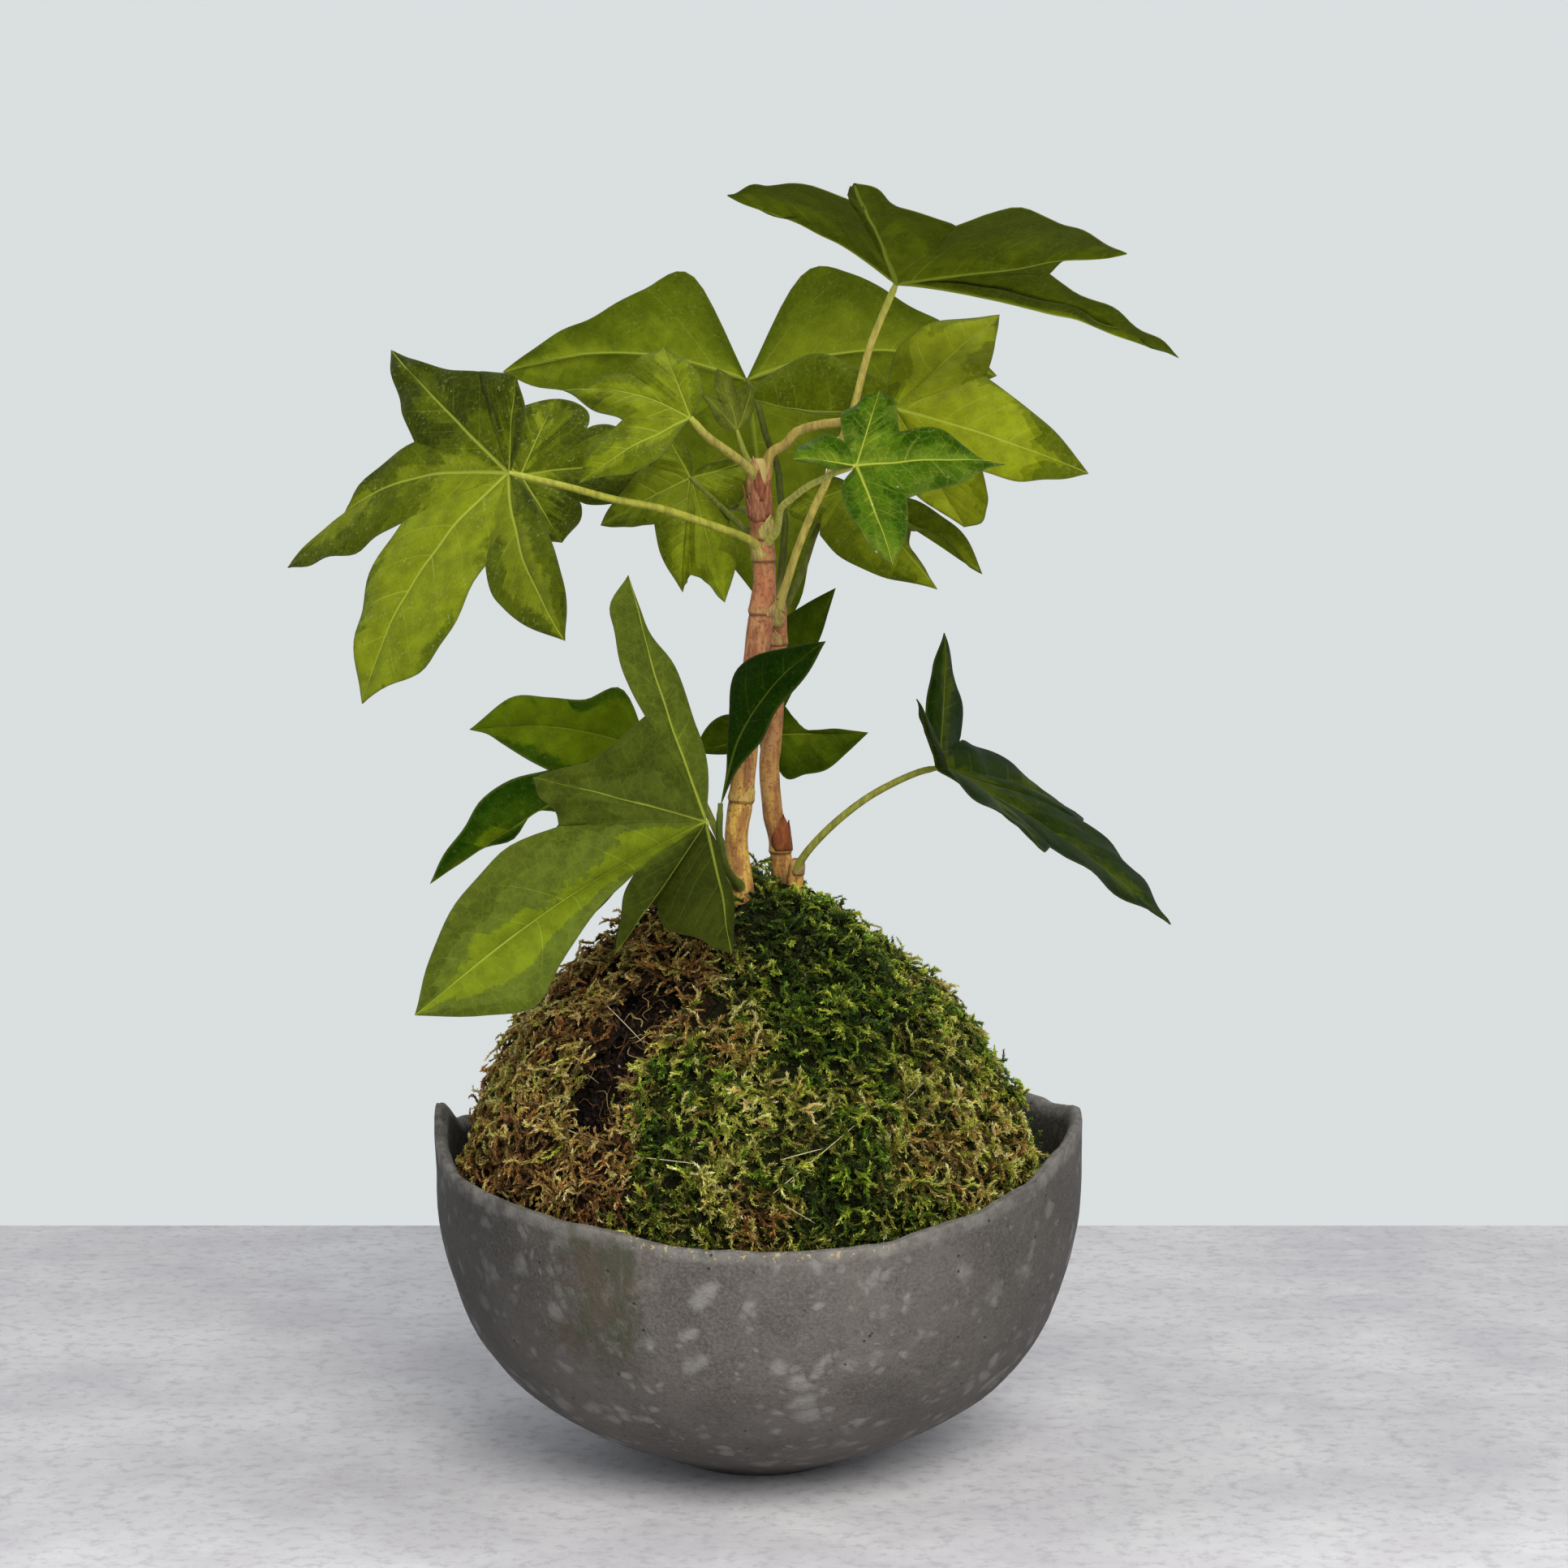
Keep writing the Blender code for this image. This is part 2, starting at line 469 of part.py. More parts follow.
def bulge(belly, share):
    """How far a margin stands out from its chord, at a share of the way along it."""
    if not isinstance(belly, tuple):
        return belly * math.sin(math.pi * share ** BELLY_SKEW)
    heights = [-belly[0], 0, *belly, 0, -belly[-1]]
    place = share * (len(belly) + 1)
    step = min(int(place), len(belly))
    t = place - step
    before, here, there, after = heights[step:step + 4]
    return (here + 0.5 * (there - before) * t
            + (before - 2.5 * here + 2 * there - 0.5 * after) * t ** 2
            + (1.5 * here - 0.5 * before - 1.5 * there + 0.5 * after) * t ** 3)


def margin_point(start, tip, belly, side, share):
    """A point on a lobe's margin, which bulges from the straight line between notch and tip."""
    chord = tip - start
    outward = Vector((-chord.y, chord.x, 0)) * side
    return start + chord * share + outward * bulge(belly, share)


def half_lobe_point(lobe, notch, side, u, v):
    """A point on half a lobe: u runs from the petiole to the tip, and v from the rib to the margin."""
    rows = ROWS_TO_NOTCH + ROWS_TO_TIP
    row = u * rows
    tip = polar(lobe.angle, lobe.length, lobe.lift)
    if row <= ROWS_TO_NOTCH:
        along = RIB_TO_NOTCH * row / ROWS_TO_NOTCH
    else:
        along = RIB_TO_NOTCH + (1 - RIB_TO_NOTCH) * (row - ROWS_TO_NOTCH) / ROWS_TO_TIP
    across = Vector((-tip.y, tip.x, 0)).normalized()
    rib = tip * along + across * lobe.bow * math.sin(math.pi * along)
    belly = lobe.after if side > 0 else lobe.before
    if notch is None:
        edge = margin_point(Vector(), tip, belly, side, along)
    elif row <= ROWS_TO_NOTCH:
        edge = polar(*notch) * row / ROWS_TO_NOTCH
    else:
        edge = margin_point(polar(*notch), tip, belly, side, (row - ROWS_TO_NOTCH) / ROWS_TO_TIP)
    point = rib.lerp(edge, v)
    point.z += QUILT * (edge - rib).length * 4 * v * (1 - v)
    return point


def leaf_surface(name, leaf, collection):
    """The blade as an open surface: one grid for each half lobe, sharing ribs and notch lines."""
    bm = bmesh.new()
    facing = Vector(leaf.facing).normalized()
    toward = Vector(leaf.toward)
    toward = (toward - facing * toward.dot(facing)).normalized()
    sideways = facing.cross(toward)
    longest = max(lobe.length for lobe in leaf.lobes)
    notches = [None, *leaf.notches, None]
    for index, lobe in enumerate(leaf.lobes):
        for side, notch in ((-1, notches[index]), (1, notches[index + 1])):
            grid = bmesh.ops.create_grid(
                bm, x_segments=ROWS_TO_NOTCH + ROWS_TO_TIP, y_segments=COLUMNS, size=1)
            for vert in grid["verts"]:
                point = half_lobe_point(lobe, notch, side, (vert.co.x + 1) / 2, (vert.co.y + 1) / 2)
                reach = min(1.0, point.length / longest)
                point.z += leaf.arch * longest * 4 * reach * (1 - reach)
                placed = toward * point.x + sideways * point.y + facing * point.z
                vert.co = (Vector(leaf.base) + placed) * MM
    bmesh.ops.remove_doubles(bm, verts=bm.verts, dist=LEAF_WELD)
    bmesh.ops.recalc_face_normals(bm, faces=bm.faces)
    bmesh.ops.triangulate(bm, faces=bm.faces)
    return object_from_bmesh(name, bm, collection)


def make_leaf(name, leaf, clearance, collection, helpers):
    """A blade joined to its petiole, which stops just short of the stem it grows from."""
    obj = leaf_surface(name, leaf, collection)
    shell = obj.modifiers.new("Thickness", "SOLIDIFY")
    shell.thickness = LEAF_THICKNESS * MM
    shell.offset = 0
    apply_modifiers(obj)
    route = [*leaf.petiole, leaf.base]
    shares = [PETIOLE_FOOT] + [1.0] * (len(route) - 2) + [PETIOLE_END]
    radii = [leaf.thick * share for share in shares]
    stalk = tube(name + "_stalk", route, radii, 8, helpers)
    boolean(obj, stalk, "UNION")
    boolean(obj, clearance[leaf.stem], "DIFFERENCE")
    keep_largest_body(obj)
    return obj


def give(obj, made):
    obj.data.materials.clear()
    obj.data.materials.append(made)


def make_moss(parts, helpers, clearance):
    """The soil ball and the two moss mats over it, holed for the stems."""
    soil = mossy_ball("root_ball", SOIL_STEPS, MOSS_THICKNESS, SOIL_LUMP_SIZE, SOIL_LUMP_HEIGHT, parts)
    soil_room = add_object("soil_room", soil.data.copy(), helpers)
    for vert in soil_room.data.vertices:
        vert.co += vert.normal * MOSS_ROOM * MM
    left = [(x + GAP / 2, z) for x, z in DRY_MOSS_LINE]
    left = [(-SIDE_REACH, SIDE_TOP), *left, (-SIDE_REACH, SIDE_FOOT)]
    right = [(x - GAP / 2, z) for x, z in DRY_MOSS_LINE]
    right = [(SIDE_REACH, SIDE_TOP), *right, (SIDE_REACH, SIDE_FOOT)]
    depths = (-SIDE_DEPTH, SIDE_DEPTH)
    cutters = {
        "moss_green": [soil_room, prism("left_side", left, depths, helpers)],
        "moss_dry": [soil_room, prism("right_side", right, depths, helpers),
                     prism("bare_patch", BARE_PATCH, BARE_PATCH_DEPTHS, helpers)],
    }
    made = [soil]
    for name, cuts in cutters.items():
        moss = mossy_ball(name, MOSS_STEPS, 0, MOSS_TUFT_SIZE, MOSS_TUFT_HEIGHT, parts)
        for cut in cuts:
            boolean(moss, cut, "DIFFERENCE")
        made.append(moss)
    for piece in made:
        for stem in clearance.values():
            boolean(piece, stem, "DIFFERENCE")
        keep_largest_body(piece)
    return made


def main():
    clear_scene()
    parts = new_collection(OBJECT_NAME)
    helpers = new_collection("cutters", hidden=True)

    bowl = make_bowl(parts)
    give(bowl, material("stoneware", (0.105, 0.098, 0.092, 1), 0.72))

    routes = {
        "front": ("stem_front", STEM_FRONT, FRONT_RINGS),
        "back": ("stem_back", STEM_BACK, BACK_RINGS),
        "stub": ("stem_stub", STEM_STUB, ()),
    }
    bark = material("stem_bark", (0.36, 0.17, 0.09, 1), 0.6)
    clearance = {}
    for key, (name, route, rings) in routes.items():
        give(make_stem(name, route, rings, 0, parts), bark)
        clearance[key] = make_stem(name + "_room", route, rings, GAP, helpers)
        clearance[key].display_type = "WIRE"

    soil, green, dry = make_moss(parts, helpers, clearance)
    give(soil, material("soil", (0.035, 0.02, 0.012, 1), 0.95))
    give(green, material("green_moss", (0.07, 0.13, 0.015, 1), 0.95))
    give(dry, material("dry_moss", (0.2, 0.1, 0.035, 1), 0.95))

    for name, leaf in LEAVES.items():
        obj = make_leaf(name, leaf, clearance, parts, helpers)
        give(obj, material(name + "_blade", leaf.colour, 0.45))
    for helper in list(helpers.objects):
        bpy.data.objects.remove(helper, do_unlink=True)


main()
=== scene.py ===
"""The looks of a moss ball with a young tree ivy, standing in a pinched stoneware bowl.

Tables are in millimetres and degrees, and MM turns them into metres. +X is right, +Y is away from
the front, +Z is up, and the origin is the middle of the bowl's foot.
"""

import math
from collections import namedtuple

import bpy
import numpy as np
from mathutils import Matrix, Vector, noise

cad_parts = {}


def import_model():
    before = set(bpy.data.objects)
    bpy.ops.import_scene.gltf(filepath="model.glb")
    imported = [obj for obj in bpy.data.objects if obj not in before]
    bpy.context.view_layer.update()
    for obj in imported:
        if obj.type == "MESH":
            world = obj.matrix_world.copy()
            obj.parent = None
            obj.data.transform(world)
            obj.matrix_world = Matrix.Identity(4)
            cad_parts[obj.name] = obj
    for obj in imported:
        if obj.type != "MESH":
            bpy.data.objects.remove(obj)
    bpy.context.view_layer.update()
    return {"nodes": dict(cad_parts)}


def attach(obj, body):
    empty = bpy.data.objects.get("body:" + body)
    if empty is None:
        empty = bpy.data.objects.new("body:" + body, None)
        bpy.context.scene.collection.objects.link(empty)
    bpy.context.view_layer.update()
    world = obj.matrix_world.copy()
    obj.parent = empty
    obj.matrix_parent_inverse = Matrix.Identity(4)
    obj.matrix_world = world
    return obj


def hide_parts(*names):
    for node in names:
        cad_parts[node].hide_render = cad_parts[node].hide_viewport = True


MM = 0.001
TURN = 2 * math.pi
# A turn in radians, near enough for random headings
ANY_WAY = 6.28

# Bowl: radius and height from the middle of its floor up the inside, over the rim and down to the foot
BOWL_PROFILE = [
    (0.0, 6.2), (9.0, 6.3), (18.0, 6.8), (30.0, 9.8), (41.0, 15.2), (51.0, 21.8), (58.6, 29.2),
    (64.0, 37.2), (67.6, 46.0), (70.2, 56.0), (71.8, 66.0), (72.2, 74.0), (72.6, 79.5), (73.1, 82.2),
    (74.4, 84.0), (75.5, 83.8), (76.0, 83.0), (76.0, 74.0), (75.6, 62.5), (74.2, 53.0), (71.6, 43.0),
    (68.0, 34.0), (62.6, 25.8), (55.0, 18.2), (45.0, 11.6), (35.0, 6.8), (27.0, 3.2), (20.0, 0.0),
]
BOWL_UNDERSIDE = [(18.5, 0.0), (10.0, 0.0), (0.02, 0.0)]
BOWL_FLOOR = 6.2
BOWL_TOP = 83.0
BOWL_STEPS = 224
BOWL_ROW = 2.6
# Rim height and outward lean at each azimuth, where 0 is right, 90 is back and 270 is front
RIM_WAVE = [
    (0, 82.0, 0.6), (20, 78.5, 0.0), (40, 78.0, -0.4), (65, 80.0, 0.0), (95, 82.0, 0.4),
    (125, 78.0, 0.0), (150, 73.0, -0.6), (166, 76.0, 0.0), (180, 83.5, 0.8), (190, 77.5, 0.4),
    (202, 73.5, 0.0), (222, 72.0, -0.6), (240, 70.3, -1.4), (258, 67.6, -2.2), (272, 66.8, -2.6),
    (290, 67.4, -2.2), (306, 70.6, -1.4), (322, 74.4, -0.4), (336, 79.5, 0.2), (348, 82.5, 0.8),
]
RIM_WAVE_STARTS = 30.0
# Dents, thumb marks and fine bumps: size, how far they move the wall, and how far they lift the rim
BOWL_RELIEF = [(22.0, 0.5, 0.0), (7.0, 0.22, 0.45), (2.5, 0.05, 0.12)]
# They reach their full depth on the wall at this height, and on the rim this far over its start
RELIEF_FULL = 12.0
RIM_STARTS, RIM_FULL = 78, 5
# The rim is worn down to this far below its top, and less and less over another stretch
WORN_BAND, WORN_FADE = 1.5, 4
# The green-brown stain on the front of the bowl: low left and high right corners, seen from the front
STAIN = ((-44.0, 38.0), (-24.0, 72.0))
# Pale dabs of three sizes: cells a metre, draw above which a cell holds one, its largest radius in
# cells, and how strong it is
DABS = [(112.0, 0.34, 0.48, 0.95), (165.0, 0.28, 0.48, 0.9), (250.0, 0.36, 0.44, 0.6)]

# Stems: x, y, height and radius at points along each
STEM_FRONT = [
    (-3.6, -10.0, 111.5, 2.6), (-3.7, -10.0, 134.0, 2.9), (-5.0, -10.5, 145.9, 2.7),
    (-5.0, -11.0, 151.7, 2.7), (-4.0, -11.0, 158.3, 2.9), (-3.3, -11.0, 165.0, 2.7),
    (-1.4, -10.5, 183.6, 2.8), (0.7, -10.0, 201.4, 2.9), (1.4, -10.0, 209.0, 2.6),
    (0.9, -10.0, 220.0, 2.7), (0.1, -10.2, 229.0, 2.6), (-0.2, -10.6, 237.0, 2.0),
]
STEM_BACK = [
    (6.3, 10.0, 113.7, 2.5), (5.1, 10.0, 143.4, 2.6), (3.2, 10.0, 152.8, 2.4),
    (2.4, 10.0, 163.6, 2.4), (3.0, 10.0, 170.0, 2.4), (4.2, 9.0, 191.5, 2.4),
    (4.2, 8.0, 203.5, 2.2),
]
STEM_STUB = [(7.6, 3.0, 118.8, 2.0), (8.2, 2.0, 132.6, 2.1), (9.1, 1.0, 143.0, 1.7)]
STEM_STEP = 0.45
STEM_SIDES = 34
STEM_LUMPS = 0.16
STEM_LUMP_SIZE = (2.2, 2.2, 5.0)
STEM_END_ROUND = 1.6
# Heights of the leaf scars that ring each stem
FRONT_RINGS = (158.3, 201.4, 213.5, 218.5)
BACK_RINGS = (143.4, 193.0)
YELLOW_RINGS = (158.3, 143.4)
# How far a scar stands out, and how far that reaches above and below it
RING_OUT, RING_ABOVE, RING_BELOW = 0.27, 1.5, 0.4
# The groove under a scar: its depth, how far under, and its width
GROOVE_IN, GROOVE_UNDER, GROOVE_WIDE = 0.12, 0.9, 0.35
# Bark: the height and colour where it is tan, where it is pinkish and where it ends
FRONT_BARK = [(150, (0.60, 0.370, 0.070)), (192, (0.460, 0.168, 0.080)), (236, (0.45, 0.185, 0.076))]
BACK_BARK = [(146, (0.54, 0.310, 0.064)), *FRONT_BARK[1:]]

# Bracts: which stem, height, azimuth, length, width and colour
BRACTS = [
    ("front", 222.4, 250, 8.5, 4.4, (0.37, 0.155, 0.08)),
    ("front", 223.5, 320, 8.0, 4.0, (0.31, 0.12, 0.058)),
    ("front", 223.0, 180, 7.5, 4.2, (0.34, 0.145, 0.07)),
    ("front", 227.0, 275, 7.0, 3.6, (0.27, 0.095, 0.045)),
    ("front", 228.5, 215, 6.5, 3.4, (0.4, 0.2, 0.09)),
    ("front", 229.0, 345, 6.0, 3.2, (0.33, 0.14, 0.065)),
    ("front", 231.5, 250, 5.5, 3.0, (0.42, 0.26, 0.1)),
    ("front", 225.5, 60, 7.0, 3.6, (0.33, 0.135, 0.065)),
    ("front", 224.5, 120, 7.5, 3.6, (0.3, 0.12, 0.058)),
    ("front", 213.3, 215, 5.0, 6.6, (0.42, 0.34, 0.1)),
    ("front", 218.2, 310, 5.5, 6.0, (0.42, 0.36, 0.11)),
    ("front", 200.6, 330, 4.0, 4.0, (0.44, 0.3, 0.11)),
    ("front", 157.8, 310, 4.2, 5.8, (0.52, 0.36, 0.1)),
    ("back", 143.6, 315, 8.5, 8.0, (0.26, 0.08, 0.026)),
    ("back", 143.8, 20, 6.5, 5.0, (0.22, 0.062, 0.022)),
    ("back", 192.6, 250, 4.0, 5.0, (0.42, 0.26, 0.1)),
    ("back", 197.0, 240, 7.0, 6.0, (0.44, 0.38, 0.11)),
    ("stub", 139.0, 300, 4.5, 3.6, (0.36, 0.25, 0.1)),
]
BRACT_ROWS = 9
BRACT_THICKNESS = 0.26
# How far a bract stands off the stem at its foot, and how much further at its tip
BRACT_OFF, BRACT_CURL = 0.16, 0.75

# Moss ball: its middle, and where its sprigs start
BALL_MIDDLE = (-2.5, 0.0, 62.0)
SPRIG_LOWEST = 38.0
# Bare soil patch in the dry moss, and two small holes, seen from the front
BARE_PATCH = [(-27, 117), (-20, 119), (-13, 114), (-19, 109), (-21, 103), (-26, 98), (-29, 90),
              (-34, 84), (-41, 86), (-40, 95), (-37, 103), (-31, 108), (-33, 113)]
HOLES = [(-10.1, 113.0, 3.6), (12.3, 86.8, 2.0)]
# Sprigs keep out of the bare patch's outline, scaled about its middle by this
PATCH_ROOM = 0.96
CLUMP_SIZE = 5.0
CLUMP_HEIGHT = 3.2
# How far the deepest sprigs lie under the highest ones
BURIED = 2.4
# Sprigs of one kind: pieces, sprigs rooted for each, its first seed, leaves a sprig, length, curl,
# rise, droop, a stem's radius and shade, and the leaves' spread, length and half width as its share
Kind = namedtuple("Kind", "pieces count seed leaves length curl rise droop stem stem_shade spread leaf width")
GREEN_SPRIG = Kind(4, 2300, 500, 28, (3.2, 6.6), 1.2, (0.50, 1.05), -0.30, 0.26, 0.7, (0.55, 1.05),
                   (0.95, 1.50), 0.27)
DRY_SPRIG = Kind(2, 2300, 700, 28, (3.8, 7.8), 2.1, (0.35, 0.95), -0.50, 0.28, 0.8, (0.40, 0.85),
                 (0.85, 1.40), 0.28)
SPRIG_ROWS = 4
SPRIG_STEM_ANGLES = (0.5, 2.6, 4.7)
LEAF_TURN = 2.4
# How many leaves get a painted glint, and how much brighter it makes them
PAINTED_GLINT_SHARE, PAINTED_GLINT_GAIN = 0.05, 2.6
# Triangles at the rim of a mat look this little outwards, and grow nothing
LEAST_OUTWARD = 0.12
# Four families of colour, from fresh to dry, and how dry the moss is where each ends
FAMILIES = [
    [(0.046, 0.094, 0.005), (0.088, 0.155, 0.009), (0.170, 0.245, 0.015), (0.320, 0.390, 0.034)],
    [(0.430, 0.445, 0.050), (0.560, 0.530, 0.085), (0.680, 0.620, 0.140), (0.330, 0.340, 0.044)],
    [(0.680, 0.420, 0.105), (0.800, 0.540, 0.155), (0.580, 0.325, 0.072), (0.520, 0.375, 0.072)],
    [(0.430, 0.185, 0.045), (0.560, 0.275, 0.076), (0.270, 0.108, 0.028), (0.680, 0.400, 0.122)],
]
FAMILY_ENDS = (0.50, 0.66, 0.84)
# Where the moss is greener or drier than elsewhere: middle, reach, and how much drier
PATCHES = [
    ((15.9, -25, 127.4), 24, -0.34), ((20.8, -58, 100.7), 15, -0.16), ((19, -62, 74.5), 13, -0.26),
    ((-18.2, -60, 88.5), 11, -0.14), ((42.7, -45, 99.7), 18, 0.24), ((-3.2, -50, 112.6), 7, 0.55),
    ((9.3, -58, 99.8), 9, 0.30), ((-8.4, -62, 79.9), 8, 0.45), ((0.4, -63, 72.0), 6, 0.55),
    ((12.3, -62, 86.8), 8, 0.35), ((50, -30, 80), 15, 0.26), ((-30, -35, 118), 14, 0.25),
    ((-6, -28, 126), 9, 0.10), ((0, -60, 92), 18, -0.03), ((-7, -58, 91), 9, -0.20),
]
# Where the moss keeps to one dryness: middle, reach, that dryness, and how strongly
EVEN = [((-8, -56, 90), 11, 0.57, 0.95), ((46, -38, 90), 24, 0.60, 0.70), ((12, -52, 108), 9, 0.55, 0.6)]
# Painted shade and painted light on the moss: middle, reach, and how much darker or brighter
PAINTED_SHADE_AND_LIGHT = [((4, -25, 130), 14, -0.52), ((-7, -56, 91), 11, 1.7), ((30, -52, 84), 20, 0.10)]
# The matted moss under the sprigs, dark and light: its own dark colour, taken near black as painted shade in
# the gaps between the sprigs
MATS = {"moss_green": ((0.006, 0.009, 0.002), (0.040, 0.050, 0.010)),
        "moss_dry": ((0.008, 0.004, 0.002), (0.046, 0.023, 0.010))}

# Soil crumbs: how many, the bare patch's middle and half its size, four colours and their shares
CRUMBS = 2200
PATCH_MIDDLE, PATCH_REACH = (-27, 101), (20, 22)
CRUMB_COLOURS = [(0.006, 0.003, 0.002), (0.014, 0.007, 0.004), (0.034, 0.016, 0.008), (0.40, 0.36, 0.30)]
CRUMB_SHARES = (0.44, 0.40, 0.145, 0.015)
# Roots in the bare patch: how many, and their colours
ROOTS = 80
ROOT_COLOURS = [(0.12, 0.058, 0.018), (0.30, 0.17, 0.05), (0.06, 0.028, 0.010), (0.50, 0.36, 0.15)]
# Dry grass stalks: the places of their two ends on the moss and the soil
STRAWS = [
    ((3.3, -63.2, 78.3), (21.8, -51.0, 91.1)), ((5.0, -61.0, 84.9), (13.8, -57.2, 86.4)),
    ((-33.1, -27.9, 111.3), (-24.8, -35.9, 104.6)), ((-26.7, -53.9, 83.9), (-12.3, -60.6, 83.9)),
    ((-47.8, -39.5, 89.0), (-36.1, -43.3, 85.4)), ((30.6, -46.4, 93.7), (37.3, -31.9, 96.8)),
    ((6.0, -63.4, 75.6), (12.1, -62.0, 71.6)), ((-41.3, -34.7, 101.2), (-34.1, -37.7, 96.0)),
    ((50.6, 28.7, 91.2), (37.4, 38.3, 94.7)), ((-21.9, 55.8, 88.0), (-6.2, 58.8, 92.4)),
    ((8.9, 61.8, 83.4), (21.6, 54.0, 88.7)),
]
STRAW_LIFT = 2.8
STRAW_BOW = 0.5
STRAW_COLOUR = (0.62, 0.54, 0.34)
THICK_STRAWS = 5
STRAW_RADII = (0.12, 0.09)

# The stage, with places in metres: the floor's left, right, near and far edges, then the wall
FLOOR = (-3.0, 3.0, -2.0, 0.21)
WALL_COLOUR = (0.700, 0.735, 0.745)
WALL_LIGHT = 0.80
# Lamps: name, place, aim, size, power and colour
LIGHTS = [
    ("key", (0.34, -1.18, 1.05), (0, 0, 0.14), 0.9, 20.0, (1.0, 0.962, 0.89)),
    ("top", (0.10, 0.25, 1.50), (0, 0, 0.1), 0.8, 5.0, (1.0, 1.0, 0.98)),
]
CAMERA_PLACE = (0.0059, -0.75, 0.25)
CAMERA_DOWN = 6.8
CAMERA_LENS = 74.05

# Leaves: a lobe is (angle, length, lift, bow, belly before, belly after) about the petiole's end, seen
# on the upper face and anticlockwise from the heading; a belly is how far the margin stands out from
# its chord, as a share of the chord: one share at its middle, or several at equal steps along it
ROWS_TO_NOTCH = 3
ROWS_TO_TIP = 5
RIB_TO_NOTCH = 0.4
BELLY_SKEW = 0.75
QUILT = 0.05
BLADE_THICKNESS = 0.4
RUMPLE = 0.8
RUMPLE_SIZE = 9.0
BLADE_ROWS = 32
BLADE_COLUMNS = 9
# Powers that draw the rows towards the petiole and the columns towards the rib
ROW_SPACING = 0.92
COLUMN_SPACING = 1.45
# Side veins: how many a lobe, how far they slant back, bend, and wander to and fro
VEINS = 6.2
VEIN_SLANT = 0.75
VEIN_BEND = 0.012
VEIN_WANDER, WANDER_RATE = 0.16, 2.6
# Puckers between the side veins, which fade out near the rib and the margin
PUCKER = 0.20
PUCKER_OFF_RIB, PUCKER_OFF_MARGIN = 3, 4
# The rib sinks into the upper face and swells under the lower one: how far, and how wide
RIB_SINK, SINK_WIDE = 0.28, 0.9
RIB_SWELL, SWELL_WIDE = 0.5, 0.55
# The pale rib's width at the petiole, how much it narrows, and the length of a lobe with a full one
RIB_WIDE, RIB_NARROWS, FULL_LOBE = 0.78, 0.56, 55
# The margin's wave: how high and long it is, and how far in it reaches
MARGIN_WAVE, WAVE_LENGTH, WAVE_REACH = 0.75, 17, 7
# Points nearer than this become one
WELD = 0.004
SHARP_ANGLE = 62
# Petiole: how far it starts inside its stem, a step along it, sides, the flare at its foot and that
# flare's length, how much it thins, and its end in the blade
PETIOLE_ROOT = 0.9
PETIOLE_STEP = 1.2
PETIOLE_SIDES = 14
FOOT_FLARE, FLARE_LENGTH = 1.25, 3.4
PETIOLE_THINS, PETIOLE_END = 0.2, 0.8
Lobe = namedtuple("Lobe", "angle length lift bow before after", defaults=(0, 0, 0.16, 0.16))
Notch = namedtuple("Notch", "angle radius lift", defaults=(0,))
Leaf = namedtuple("Leaf", "base toward facing arch look lobes notches petiole thick")
# How a leaf is coloured: dark, middle and lime greens, how far the lime and the middle green reach,
# how strong the pale veins are, roughness, how much the lime keeps to the ribs, how soft its edges
# are, how many pale flecks it has, how much it shines, and whether it has dried water spots
Look = namedtuple("Look", "dark middle lime lime_share middle_share veins rough centre soft flecks shine "
                  "spots", defaults=(0.30, 0.12, 0.6, 0.14, False))

